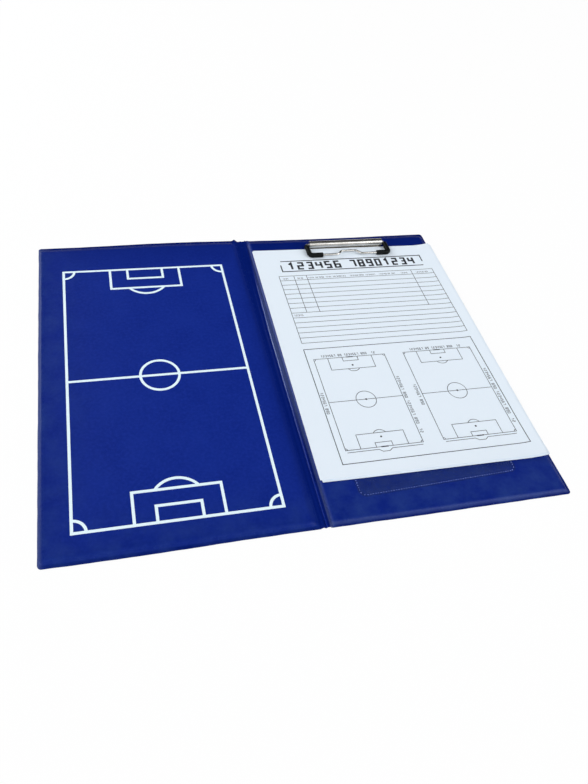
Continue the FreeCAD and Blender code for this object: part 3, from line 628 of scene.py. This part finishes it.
SPINE_HALVES = {
    "right": {
        "side": 1, "body": "back_panel", "seed": 51, "bank": 0.75 * MM, "fill": FULL_FILL,
        "rib_place": 1.7 * MM, "rib_lean": 1.2 * MM, "rib_rise": FULL_RIB, "rib_reach": 0.75 * MM,
    },
    "left": {
        "side": -1, "body": "cover", "seed": 61, "bank": 0, "fill": 0,
        "rib_place": 1.9 * MM, "rib_lean": -0.6 * MM, "rib_rise": 0.1 * MM, "rib_reach": 0.8 * MM,
    },
}


def spine_half(name, side, body, seed, bank, fill, rib_place, rib_lean, rib_rise, rib_reach):
    """Half of the spine, from its middle to its crease, where it can bank up towards the panel."""
    x, y = np.meshgrid(np.linspace(0, SPINE_LAP, SPINE_COLUMNS),
                       stations(-HALF_LENGTH, HALF_LENGTH, EDGE_STEPS, SPINE_STEP), indexing="ij")
    end_gap = HALF_LENGTH - np.abs(y)
    near_end = np.exp(-end_gap / PUCKER_REACH)
    drift = DRIFT * ripple(y, seed, *DRIFT_WAVES) + rib_lean * y / HALF_LENGTH
    drift += rib_lean * HEAD_DRIFT * progress(y, *HEAD_DRIFT_RUN)
    past_rib = x - rib_place - drift
    on_rib = bell(past_rib, 0, rib_reach) * progress(y, *RIB_FADE)
    rib = rib_rise * on_rib * (1 + RIB_UNEVEN * ripple(y, seed + 1, *RIB_WAVES))
    upper = progress(y, *UPPER_RUN)
    banked = bank * ramp(x, *BANK_RUN, BANK_ROUNDING)
    filled = fill * upper * ramp(past_rib, *FILL_RUN, FILL_ROUNDING)
    groove = GROOVE_DEPTH * bell(x, *GROOVE_BAND) * (bank == 0)
    sway = SWAY_ALONG * ripple(y, seed + 2, *ALONG_WAVES) + SWAY_ACROSS * ripple(x, seed + 4, *ACROSS_WAVES)
    gather = np.sin((x - SPINE_HALF) * math.tau / PUCKER_WAVE + sway)
    pucker = PUCKER_RISE * near_end * gather * bell(x, *PUCKER_BAND)
    top = 2 * SKIN + rib + np.maximum(banked, filled) - groove + pucker - edge_fall(end_gap)
    under = UNDER_GROOVE * groove + edge_fall(end_gap)
    drawn = EDGE_WOBBLE * ripple(x, seed + 3, *END_WAVES) - END_DRAW * bell(x, *DRAWN_BAND)
    new_y = y + np.sign(y) * drawn * np.exp(-end_gap / CORNER)
    piece = closed_skin(name + "_spine_vinyl", SPINE_MIDDLE + side * x, new_y, top, under, vinyl)
    # Painted glint and highlights: the rib, the fill beside it and the lower bank are lightened; only the
    # rubbing at the ends is real
    gloss = on_rib * bell(y, *GLOSS_BAND) * rib_rise / FULL_RIB
    worn_and_lit = END_WEAR * bell(end_gap, *WORN_RIM) + filled / FULL_FILL + PAINTED_GLINT * gloss
    if bank:
        worn_and_lit += BANK_HIGHLIGHT * (1 - upper) * ramp(x, *BANK_HIGHLIGHT_RUN, BANK_HIGHLIGHT_ROUNDING)
    # Marks: painted shade in the valley, lighter on the rib, and the rubbing and painted highlights above
    mark_skin(piece, {
        "shadow": SPINE_SHADE - RIB_BRIGHT * on_rib * rib_rise / FULL_RIB,
        "wear_and_highlight": np.clip(worn_and_lit, 0, 1),
        "polish": np.ones_like(x),
        "haze": np.zeros_like(x),
        "gloss": gloss,
    })
    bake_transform(piece)
    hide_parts("spine_inner_skin", "spine_outer_skin")


for half_name, half in SPINE_HALVES.items():
    spine_half(half_name, **half)


# Card pocket: a thin film raised inside its welded seam, with a row of weld marks along the seam

POCKET_WIDTH = 147 * MM
POCKET_LENGTH = 100 * MM
POCKET_CORNER = 6 * MM
POCKET_MIDDLE = 106 * MM
POCKET_FOOT = -156 * MM
POCKET_TURN = math.radians(2.2)
POCKET_SEAM, POCKET_SLOPE, POCKET_ROUNDING = 3 * MM, 2 * MM, 0.5 * MM
FILM, FILM_RISE = 0.25 * MM, 0.45 * MM
TUFT, TUFT_REACH = 0.2 * MM, 4 * MM
TUFT_WAVES = (30 * MM, 7 * MM)
SLACK = 0.12 * MM
SLACK_WAVES = (70 * MM, 18 * MM)
POCKET_STEP = 3 * MM
POCKET_STEPS = MM * np.array([0, 0.4, 1.0, 1.8, 2.4, 2.8, 3.2, 3.6, 4.0, 4.4, 4.8, 5.2, 6.0, 7.0, 8.5,
                              10.5])
pocket_place = Matrix.Translation((POCKET_MIDDLE, POCKET_FOOT, FACE))
pocket_matrix = pocket_place @ Matrix.Rotation(POCKET_TURN, 4, "Z")


def pocket_film():
    """The film, flat along its seam and slack inside it."""
    half = POCKET_WIDTH / 2
    x, y = np.meshgrid(stations(-half, half, POCKET_STEPS, POCKET_STEP),
                       stations(0, POCKET_LENGTH, POCKET_STEPS, POCKET_STEP), indexing="ij")
    for side in SIDES:
        x, y = rounded_corner(x, y, (side * half, 0), (side, -1), POCKET_CORNER)
    inside = edge_distance(x, y, (-half, 0), (half, 2 * POCKET_LENGTH), POCKET_CORNER)
    rise = ramp(inside, POCKET_SEAM, POCKET_SEAM + POCKET_SLOPE, POCKET_ROUNDING)
    tufts = (1 + ripple(x + y, 71, *TUFT_WAVES)) / 2
    pucker = TUFT * tufts * bell(inside, POCKET_SEAM + POCKET_SLOPE, TUFT_REACH) * rise
    slack = SLACK * (1 + mottle(x, y, 72, *SLACK_WAVES)) / 2 * rise
    top = FILM + FILM_RISE * rise - pucker - slack
    piece = closed_skin("pocket_film", x, y, top, top - FILM, clear_film)
    piece.matrix_world = pocket_matrix
    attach(piece, "back_panel")
    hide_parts("card_pocket")


MARK_PITCH = 2.3 * MM
MARK_LENGTH, LENGTH_SHARES = 1.0 * MM, (0.55, 1.3)
MARK_WIDTH, WIDTH_SHARES = 0.7 * MM, (0.7, 1.2)
MARK_RISE = 0.12 * MM
MARK_SIDES = 10
MARK_RINGS = ((1.0, 0.6 * FILM), (0.95, FILM), (0.6, FILM + 0.75 * MARK_RISE))
BEND_MARKS = np.radians((22, 68))


def seam_line(inset):
    """Points and headings along the pocket's seam, from its left mouth round to its right mouth."""
    half = POCKET_WIDTH / 2 - inset
    bend = POCKET_CORNER - inset
    runs = [((-half, POCKET_LENGTH), (-half, inset + bend)),
            ((-half + bend, inset), (half - bend, inset)),
            ((half, inset + bend), (half, POCKET_LENGTH))]
    for number, (start, end) in enumerate(runs):
        length = math.dist(start, end)
        heading = math.atan2(end[1] - start[1], end[0] - start[0])
        for share in np.arange(MARK_PITCH / 2, length, MARK_PITCH) / length:
            yield start[0] + share * (end[0] - start[0]), start[1] + share * (end[1] - start[1]), heading
        if number < len(SIDES):
            side = SIDES[number]
            for turn in BEND_MARKS:
                angle = math.pi + turn if side < 0 else -math.pi / 2 + turn
                yield (side * (half - bend) + bend * math.cos(angle), inset + bend + bend * math.sin(angle),
                       angle + math.pi / 2)


def weld_marks():
    """Small domed dashes pressed along the seam, each a little different in length."""
    chance = np.random.default_rng(81)
    points = []
    faces = []
    for x, y, heading in seam_line(POCKET_SEAM / 2):
        first = len(points)
        long_half = MARK_LENGTH / 2 * chance.uniform(*LENGTH_SHARES)
        wide_half = MARK_WIDTH / 2 * chance.uniform(*WIDTH_SHARES)
        for share, height in MARK_RINGS:
            for angle in np.linspace(0, math.tau, MARK_SIDES, endpoint=False):
                along = share * long_half * math.cos(angle)
                across = share * wide_half * math.sin(angle)
                points.append((x + along * math.cos(heading) - across * math.sin(heading),
                               y + along * math.sin(heading) + across * math.cos(heading), height))
        tip = len(points)
        points.append((x, y, FILM + MARK_RISE))
        faces.append([first + k for k in range(MARK_SIDES)][::-1])
        crown = tip - MARK_SIDES
        for low in range(first, crown, MARK_SIDES):
            for k in range(MARK_SIDES):
                after = (k + 1) % MARK_SIDES
                faces.append([low + k, low + after, low + MARK_SIDES + after, low + MARK_SIDES + k])
        for k in range(MARK_SIDES):
            faces.append([crown + k, crown + (k + 1) % MARK_SIDES, tip])
    piece = new_piece("pocket_weld_marks", points, faces, weld)
    piece.matrix_world = pocket_matrix
    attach(piece, "back_panel")


pocket_film()
weld_marks()


# Sheets: each lies flat under the bail and lifts a little towards its left, right and lower edges

SHEET_STEPS = MM * np.array([0, 0.5, 1.2, 2.0, 3.0, 4.5, 7.0])
STEP_ACROSS, STEP_ALONG = 3 * MM, 6 * MM
SHEET_CORNERS = {(-1, 1): 2.6 * MM, (1, 1): 0.4 * MM, (-1, -1): 0.3 * MM, (1, -1): 0.4 * MM}
HIDDEN_CORNER = 3.0 * MM
LOWER_CURL, LEFT_CURL, CURL_REACH = 0.5 * MM, 0.35 * MM, 45 * MM
CURL_UNEVEN, CURL_SLANT = 0.25, 0.4
CURL_WAVES = (230 * MM, 60 * MM)
RIGHT_CURL, RIGHT_REACH = 2.8 * MM, 22 * MM
FOOT_CURL = 1.2 * MM
SHEET_COUNT = 6
HALF_WIDE, HALF_LONG = 105 * MM, 148.5 * MM
SHEET_TURN = math.radians(-0.62)
top_low, top_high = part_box("top_sheet")


def turned(x, y, angle):
    return x * math.cos(angle) - y * math.sin(angle), x * math.sin(angle) + y * math.cos(angle)


def middle_of(low, high):
    return (low[0] + high[0]) / 2, (low[1] + high[1]) / 2


def sheet_lift(x, y, share):
    """How far a sheet has lifted: along with the whole stack, and by its share off the one below."""
    at_foot = progress(y + HALF_LONG, CURL_REACH, 0)
    at_left = progress(x + HALF_WIDE, CURL_REACH, 0)
    at_right = progress(HALF_WIDE - x, RIGHT_REACH, 0)
    rightward = progress(x, -HALF_WIDE / 2, HALF_WIDE / 2)
    uneven = 1 - CURL_UNEVEN + CURL_UNEVEN * ripple(x + CURL_SLANT * y, 91, *CURL_WAVES)
    alone = share * uneven * (LOWER_CURL * at_foot ** 2 + LEFT_CURL * at_left ** 2)
    return alone + RIGHT_CURL * at_right ** 2 + FOOT_CURL * rightward * at_foot ** 2


def top_sheet_height(x, y):
    middle = middle_of(top_low, top_high)
    return top_high[2] + sheet_lift(*turned(x - middle[0], y - middle[1], -SHEET_TURN), 1.0)


def sheet_of_paper(number):
    """One sheet of the stack, numbered from the top one down."""
    node = "top_sheet" if number == 0 else "lower_sheet_%d" % number
    body = "top_page" if number == 0 else "lower_page_%d" % number
    low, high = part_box(node)
    middle = middle_of(low, high)
    x, y = np.meshgrid(stations(-HALF_WIDE, HALF_WIDE, SHEET_STEPS, STEP_ACROSS),
                       stations(-HALF_LONG, HALF_LONG, SHEET_STEPS, STEP_ALONG), indexing="ij")
    hidden = 0 < number < SHEET_COUNT - 1
    for (side, end), radius in SHEET_CORNERS.items():
        radius = HIDDEN_CORNER if hidden else radius
        x, y = rounded_corner(x, y, (side * HALF_WIDE, end * HALF_LONG), (side, end), radius)
    lift = sheet_lift(x, y, 1 - number / SHEET_COUNT)
    x, y = turned(x, y, SHEET_TURN)
    piece = closed_skin(node + "_paper", middle[0] + x, middle[1] + y, high[2] + lift, low[2] + lift, paper)
    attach(piece, body)
    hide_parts(node)


for sheet_number in range(SHEET_COUNT):
    sheet_of_paper(sheet_number)


# Printed form on the top sheet: lines, two small pitches and plain numbers

PRINT_RISE = 0.02 * MM
PRINT_STEP = 4 * MM
ARC_STEP = 0.5 * MM
FEWEST_ARC_STEPS = 8


class Lines:
    """Printed lines that follow the top sheet, gathered into one mesh."""

    def __init__(self):
        self.points = []
        self.faces = []

    def stroke(self, path, width, closed=False):
        """A line of one width along a path of places on the sheet."""
        path = np.asarray(path, float)
        if closed:
            path = np.vstack([path, path[:1]])
        fine = [path[0]]
        for start, end in zip(path[:-1], path[1:]):
            count = max(1, math.ceil(np.linalg.norm(end - start) / PRINT_STEP))
            fine += [start + (end - start) * k / count for k in range(1, count + 1)]
        fine = np.array(fine[:-1] if closed else fine)
        before = np.roll(fine, 1, axis=0)
        after = np.roll(fine, -1, axis=0)
        if not closed:
            before[0] = 2 * fine[0] - fine[1]
            after[-1] = 2 * fine[-1] - fine[-2]
        into = (fine - before) / np.linalg.norm(fine - before, axis=1)[:, None]
        out = (after - fine) / np.linalg.norm(after - fine, axis=1)[:, None]
        both = into + out
        aside = np.stack([-both[:, 1], both[:, 0]], axis=1) / np.sum(both * into, axis=1)[:, None]
        self.strip(fine - aside * width / 2, fine + aside * width / 2, closed)

    def strip(self, right, left, closed):
        """A thin strip between its right and left sides, closed underneath and at its ends."""
        first = len(self.points)
        for one, other in zip(right, left):
            ring = ((one, PRINT_RISE), (other, PRINT_RISE), (other, -PRINT_RISE), (one, -PRINT_RISE))
            for place, rise in ring:
                self.points.append((*place, float(top_sheet_height(*place)) + rise))
        count = len(right)
        for k in range(count if closed else count - 1):
            here = first + 4 * k
            there = first + 4 * ((k + 1) % count)
            for edge in range(4):
                after = (edge + 1) % 4
                self.faces.append([here + edge, here + after, there + after, there + edge])
        if not closed:
            last = first + 4 * (count - 1)
            self.faces.append([first + 3, first + 2, first + 1, first])
            self.faces.append([last, last + 1, last + 2, last + 3])

    def arc(self, centre, radius, start, end, width):
        """Part of a circle between two angles in degrees, or the whole of it."""
        whole = end - start >= 360
        count = max(FEWEST_ARC_STEPS, math.ceil(radius * math.radians(end - start) / ARC_STEP))
        angles = np.radians(np.linspace(start, end, count, endpoint=not whole))
        path = np.stack([centre[0] + radius * np.cos(angles), centre[1] + radius * np.sin(angles)], axis=1)
        self.stroke(path, width, whole)

    def rectangle(self, left, right, low, high, width):
        self.stroke([(left, low), (right, low), (right, high), (left, high)], width, closed=True)


FINE_LINE = 0.58 * MM
FRAME_LINE = 0.74 * MM
TITLE_LINE = 1.3 * MM
form = Lines()

# Title brackets, each an open corner
TITLE_LEFT, TITLE_RIGHT = 33 * MM, 199 * MM
TITLE_LOW, TITLE_HIGH = 120.6 * MM, 137.4 * MM
BRACKET, BRACKET_GAP = 10.5 * MM, 1 * MM
form.stroke([(TITLE_LEFT, TITLE_LOW + BRACKET), (TITLE_LEFT, TITLE_LOW),
             (TITLE_RIGHT - BRACKET_GAP, TITLE_LOW)], TITLE_LINE)
form.stroke([(TITLE_LEFT + BRACKET_GAP, TITLE_HIGH), (TITLE_RIGHT, TITLE_HIGH),
             (TITLE_RIGHT, TITLE_HIGH - BRACKET)], TITLE_LINE)

# Table with a header, seven rows and six note rows
TABLE_LEFT, TABLE_RIGHT = 27 * MM, 205 * MM
TABLE_HIGH = 113.2 * MM
TABLE_ROW = 7.07 * MM
TABLE_ROWS = 14
COLUMN_ROWS = 8
COLUMNS = (43.3 * MM, 57.3 * MM, 179.3 * MM)
table_low = TABLE_HIGH - TABLE_ROWS * TABLE_ROW
columns_low = TABLE_HIGH - COLUMN_ROWS * TABLE_ROW
form.rectangle(TABLE_LEFT, TABLE_RIGHT, table_low, TABLE_HIGH, FINE_LINE)
for row in range(1, TABLE_ROWS):
    row_height = TABLE_HIGH - row * TABLE_ROW
    form.stroke([(TABLE_LEFT, row_height), (TABLE_RIGHT, row_height)], FINE_LINE)
for column in COLUMNS:
    form.stroke([(column, TABLE_HIGH), (column, columns_low)], FINE_LINE)

# Frame round the two small pitches
FRAME_LEFT, FRAME_RIGHT = 26.5 * MM, 204.5 * MM
FRAME_LOW, FRAME_HIGH = -127 * MM, 5.8 * MM
form.rectangle(FRAME_LEFT, FRAME_RIGHT, FRAME_LOW, FRAME_HIGH, FRAME_LINE)

# Two small pitches
PITCH_WIDTH = 72.5 * MM
PITCH_LENGTH = 105.8 * MM
PITCH_MIDDLES = (69.3 * MM, 161.5 * MM)
PITCH_LEVEL = -60.7 * MM
CIRCLE = 9.5 * MM
PENALTY_WIDTH, PENALTY_DEPTH = 44.5 * MM, 15 * MM
GOAL_WIDTH, GOAL_DEPTH = 15.4 * MM, 4.8 * MM
SPOT_DEPTH = 10.6 * MM
SPOT, SPOT_LINE = 0.5 * MM, 0.95 * MM
ARC_HALF, ARC_RISE = 5.8 * MM, 3.1 * MM
GOAL_BAR, GOAL_BAR_WIDTH = 7 * MM, 1.2 * MM
QUARTER = 2 * MM
QUARTER_STARTS = {(-1, -1): 0, (1, -1): 90, (1, 1): 180, (-1, 1): 270}
TOUCH_GAP, TOUCH_SHORT = 2.4 * MM, 1 * MM
TOUCH_BUMP, TOUCH_BUMP_DEPTH = 12.5 * MM, 2.4 * MM


def small_pitch(middle):
    """A pitch with its areas, arcs, spots and quarters, and a bent line under its foot."""
    low, high = (PITCH_LEVEL + end * PITCH_LENGTH / 2 for end in SIDES)
    left, right = (middle + side * PITCH_WIDTH / 2 for side in SIDES)
    form.rectangle(left, right, low, high, FINE_LINE)
    form.stroke([(left, PITCH_LEVEL), (right, PITCH_LEVEL)], FINE_LINE)
    form.arc((middle, PITCH_LEVEL), CIRCLE, 0, 360, FINE_LINE)
    form.arc((middle, PITCH_LEVEL), SPOT, 0, 360, SPOT_LINE)
    arc_radius = (ARC_HALF ** 2 + ARC_RISE ** 2) / (2 * ARC_RISE)
    arc_half_angle = math.degrees(math.asin(ARC_HALF / arc_radius))
    for end, goal_line in ((-1, low), (1, high)):
        for width, depth in ((PENALTY_WIDTH, PENALTY_DEPTH), (GOAL_WIDTH, GOAL_DEPTH)):
            inner = goal_line - end * depth
            form.stroke([(middle - width / 2, goal_line), (middle - width / 2, inner),
                         (middle + width / 2, inner), (middle + width / 2, goal_line)], FINE_LINE)
        form.arc((middle, goal_line - end * SPOT_DEPTH), SPOT, 0, 360, SPOT_LINE)
        arc_centre = goal_line - end * (PENALTY_DEPTH + ARC_RISE - arc_radius)
        facing = -90 * end
        form.arc((middle, arc_centre), arc_radius, facing - arc_half_angle, facing + arc_half_angle,
                 FINE_LINE)
        form.stroke([(middle - GOAL_BAR / 2, goal_line), (middle + GOAL_BAR / 2, goal_line)],
                    GOAL_BAR_WIDTH)
        for side, side_line in ((-1, left), (1, right)):
            turn = QUARTER_STARTS[(side, end)]
            form.arc((side_line, goal_line), QUARTER, turn, turn + 90, FINE_LINE)
    touch = low - TOUCH_GAP
    bump = touch - TOUCH_BUMP_DEPTH
    form.stroke([(left + TOUCH_SHORT, touch), (middle - TOUCH_BUMP / 2, touch),
                 (middle - TOUCH_BUMP / 4, bump), (middle + TOUCH_BUMP / 4, bump),
                 (middle + TOUCH_BUMP / 2, touch), (right - TOUCH_SHORT, touch)], FINE_LINE)


for pitch_middle in PITCH_MIDDLES:
    small_pitch(pitch_middle)
form_lines = new_piece("form_lines", form.points, form.faces, black_print)
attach(form_lines, "top_page")


# Plain numbers in the places of the form's words, drawn with square strokes

DIGIT_RUNS = {
    "0": [[(0, 0), (1, 0), (1, 2), (0, 2), (0, 0)]],
    "1": [[(0.1, 1.5), (0.6, 2), (0.6, 0)]],
    "2": [[(0, 2), (1, 2), (1, 1), (0, 1), (0, 0), (1, 0)]],
    "3": [[(0, 2), (1, 2), (1, 0), (0, 0)], [(0.2, 1), (1, 1)]],
    "4": [[(0, 2), (0, 1), (1, 1)], [(1, 2), (1, 0)]],
    "5": [[(1, 2), (0, 2), (0, 1), (1, 1), (1, 0), (0, 0)]],
    "6": [[(1, 2), (0, 2), (0, 0), (1, 0), (1, 1), (0, 1)]],
    "7": [[(0, 2), (1, 2), (1, 0)]],
    "8": [[(0, 0), (1, 0), (1, 2), (0, 2), (0, 0)], [(0, 1), (1, 1)]],
    "9": [[(1, 1), (0, 1), (0, 2), (1, 2), (1, 0), (0, 0)]],
}
DIGIT_SHARE = 0.74
DOWNWARD = -math.pi / 2

# Rows of the title, the table's head and its notes: left end, pitch of the digits and text
TITLE_ROWS = ((40.5 * MM, 10.6 * MM, "123456"), (112 * MM, 10.0 * MM, "78901234"))
TITLE_FOOT, TITLE_HEIGHT, TITLE_WEIGHT = 2.2 * MM, 12.4 * MM, 2.4 * MM
HEADER_ROWS = ((30 * MM, "1234"), (46.4 * MM, "5678"), (58.5 * MM, "1234 567890 1234 567890123"),
               (106 * MM, "1234567890 1234567"), (140 * MM, "12345678 901"), (166 * MM, "12345"),
               (184 * MM, "123456789"))
HEADER_DROP_SHARE, HEADER_PITCH, HEADER_HEIGHT, HEADER_WEIGHT = 0.75, 1.65 * MM, 2.0 * MM, 0.3 * MM
NOTE_DROP_SHARE, NOTE_PITCH, NOTE_HEIGHT, NOTE_WEIGHT = 0.7, 2.0 * MM, 2.6 * MM, 0.36 * MM
NOTE_LEFT = 29 * MM

# Rows beside a small pitch: which side and end of it, shift from there, pitch of the digits, turn and text
BESIDE_ROWS = (
    (-1, 1, (8 * MM, 1.6 * MM), 2.15 * MM, 0.0, "1234567 89 1234567 890  12"),
    (-1, 0, (-5.2 * MM, 12 * MM), 2.3 * MM, DOWNWARD, "1234567 890"),
    (1, 0, (1.4 * MM, 24 * MM), 2.5 * MM, DOWNWARD, "1234567 890 1234567 890  12"),
)
BESIDE_HEIGHT, BESIDE_WEIGHT = 2.9 * MM, 0.45 * MM


def number_row(lines, text, start, pitch, height, weight, turn=0.0):
    """A row of digits from a starting place at its lower left, turned about that place."""
    wide = DIGIT_SHARE * pitch - weight
    high = height - weight
    along = np.array([math.cos(turn), math.sin(turn)])
    upward = np.array([-math.sin(turn), math.cos(turn)])
    for place, digit in enumerate(text):
        for run in DIGIT_RUNS.get(digit, ()):
            corner = np.array(start) + along * (place * pitch + weight / 2) + upward * weight / 2
            path = [corner + along * column * wide + upward * row * high / 2 for column, row in run]
            closed = run[0] == run[-1]
            lines.stroke(path[:-1] if closed else path, weight, closed)


def printed_numbers():
    lines = Lines()
    for left, pitch, text in TITLE_ROWS:
        number_row(lines, text, (left, TITLE_LOW + TITLE_FOOT), pitch, TITLE_HEIGHT, TITLE_WEIGHT)
    header = TABLE_HIGH - HEADER_DROP_SHARE * TABLE_ROW
    for left, text in HEADER_ROWS:
        number_row(lines, text, (left, header), HEADER_PITCH, HEADER_HEIGHT, HEADER_WEIGHT)
    note = columns_low - NOTE_DROP_SHARE * TABLE_ROW
    number_row(lines, "12345", (NOTE_LEFT, note), NOTE_PITCH, NOTE_HEIGHT, NOTE_WEIGHT)
    for middle in PITCH_MIDDLES:
        for side, end, shift, pitch, turn, text in BESIDE_ROWS:
            left = middle + side * PITCH_WIDTH / 2 + shift[0]
            foot = PITCH_LEVEL + end * PITCH_LENGTH / 2 + shift[1]
            number_row(lines, text, (left, foot), pitch, BESIDE_HEIGHT, BESIDE_WEIGHT, turn)
    piece = new_piece("form_numbers", lines.points, lines.faces, black_print)
    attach(piece, "top_page")


printed_numbers()


# Stage: a wide pale floor, seen as white

FLOOR_DROP = 0.05 * MM
FLOOR_SIDES = 96
FLOOR_RINGS = (0.6, 1.5, 3.0, 6.0)
FLOOR_GLOW = 0.96


def make_floor():
    """A pale material that keeps the object's shadow and is seen as nearly white."""
    surface = Surface("floor", {"Specular IOR Level": 0.1, "Roughness": 0.9})
    tone = surface.colours(surface.noise(0.4, 3), (0.86, 0.87, 0.885), (0.90, 0.905, 0.915))
    path = surface.node("ShaderNodeLightPath", {})
    seen = path.outputs["Is Camera Ray"]
    for ray in ("Is Glossy Ray", "Is Transmission Ray"):
        seen = surface.combined("MAXIMUM", seen, path.outputs[ray])
    share = surface.spread(seen, 0, FLOOR_GLOW, 0, 1)
    glow = surface.node("ShaderNodeEmission", {"Color": WHITE, "Strength": 1.0}).outputs["Emission"]
    blend = surface.node("ShaderNodeMixShader", {"Fac": share, 1: surface.shader.outputs["BSDF"], 2: glow})
    surface.feed(surface.tree.nodes["Material Output"], {"Surface": blend.outputs["Shader"]})
    return surface.finish(tone)


def floor():
    points = [(0, 0, -FLOOR_DROP)]
    faces = []
    for radius in FLOOR_RINGS:
        for angle in np.linspace(0, math.tau, FLOOR_SIDES, endpoint=False):
            points.append((radius * math.cos(angle), radius * math.sin(angle), -FLOOR_DROP))
    for k in range(FLOOR_SIDES):
        after = (k + 1) % FLOOR_SIDES
        faces.append([0, 1 + k, 1 + after])
        for ring in range(len(FLOOR_RINGS) - 1):
            low = 1 + ring * FLOOR_SIDES
            faces.append([low + k, low + FLOOR_SIDES + k, low + FLOOR_SIDES + after, low + after])
    new_piece("floor", points, faces, make_floor())


floor()


# Light: soft lights at the right and the left, a small one at the back, and a surround that dims there

LIGHTS = {
    "key_light": {"direction": (0.72, -0.34, 0.60), "distance": 3.0, "width": 2.5, "radiance": 2.8},
    "fill_light": {"direction": (-0.72, -0.45, 0.53), "distance": 3.0, "width": 2.5, "radiance": 1.8},
    "back_light": {"direction": (-0.58, 0.63, 0.51), "distance": 1.7, "width": 0.75, "radiance": 5.8},
}
SKY_TINT = (0.97, 0.985, 1.0, 1)
SKY_BACK = (0.30, 0.76, 0.577)
SKY_ENDS = ((0.0, 0.85), (1.0, 0.03))
SKY_BETWEEN = ((0.2, 0.75), (0.7, 0.36))


def area_light(name, direction, distance, width, radiance):
    """A square light that faces the object, as bright as its radiance wherever it is seen."""
    lamp = bpy.data.lights.new(name, "AREA")
    lamp.shape = "SQUARE"
    lamp.size = width
    lamp.energy = radiance * math.pi * width ** 2
    place = Vector(direction).normalized() * distance
    light = new_object(name, lamp)
    light.location = place
    light.rotation_euler = place.to_track_quat("Z", "Y").to_euler()


for light_name, light_settings in LIGHTS.items():
    area_light(light_name, **light_settings)


def make_surround():
    """A sky that dims from the low front to the back, and plain white where the camera sees it."""
    world = bpy.data.worlds.new("surround")
    sky = Nodes(world)
    place = sky.node("ShaderNodeTexCoord", {}).outputs["Generated"]
    towards_back = sky.node("ShaderNodeVectorMath", {0: place, 1: SKY_BACK}, operation="DOT_PRODUCT")
    share = sky.node("ShaderNodeMapRange", {"Value": towards_back.outputs["Value"], "From Min": -1})
    level = sky.node("ShaderNodeFloatCurve", {"Value": share.outputs["Result"]})
    curve = level.mapping.curves[0]
    for point, end_place in zip(curve.points, SKY_ENDS):
        point.location = end_place
    for facing, strength in SKY_BETWEEN:
        curve.points.new(facing, strength)
    level.mapping.update()
    surround = sky.tree.nodes["Background"]
    sky.feed(surround, {"Color": SKY_TINT, "Strength": level.outputs["Value"]})
    white = sky.node("ShaderNodeBackground", {"Color": WHITE}).outputs["Background"]
    seen = sky.node("ShaderNodeLightPath", {}).outputs["Is Camera Ray"]
    blend = sky.node("ShaderNodeMixShader", {"Fac": seen, 1: surround.outputs["Background"], 2: white})
    sky.feed(sky.tree.nodes["World Output"], {"Surface": blend.outputs["Shader"]})
    return world


scene.world = make_surround()
scene.view_settings.view_transform = "Standard"


# Camera at the photograph's viewing angle, for a picture of 588 by 784

CAMERA_PLACE = (-0.15931, -0.40961, 0.46688)
CAMERA_FORWARD = Vector((0.22511, 0.63808, -0.73633)).normalized()
CAMERA_UP = Vector((0.07965, 0.74115, 0.6666))
lens = bpy.data.cameras.new("camera")
lens.sensor_width = 36.0
lens.lens = 30.8
lens.shift_x = 0.0408
lens.shift_y = -0.0349
lens.clip_start = 0.01
lens.clip_end = 50.0
aside = CAMERA_FORWARD.cross(CAMERA_UP).normalized()
upward = aside.cross(CAMERA_FORWARD)
turn_matrix = Matrix((aside, upward, -CAMERA_FORWARD)).transposed().to_4x4()
scene.camera = new_object("camera", lens)
scene.camera.matrix_world = Matrix.Translation(CAMERA_PLACE) @ turn_matrix
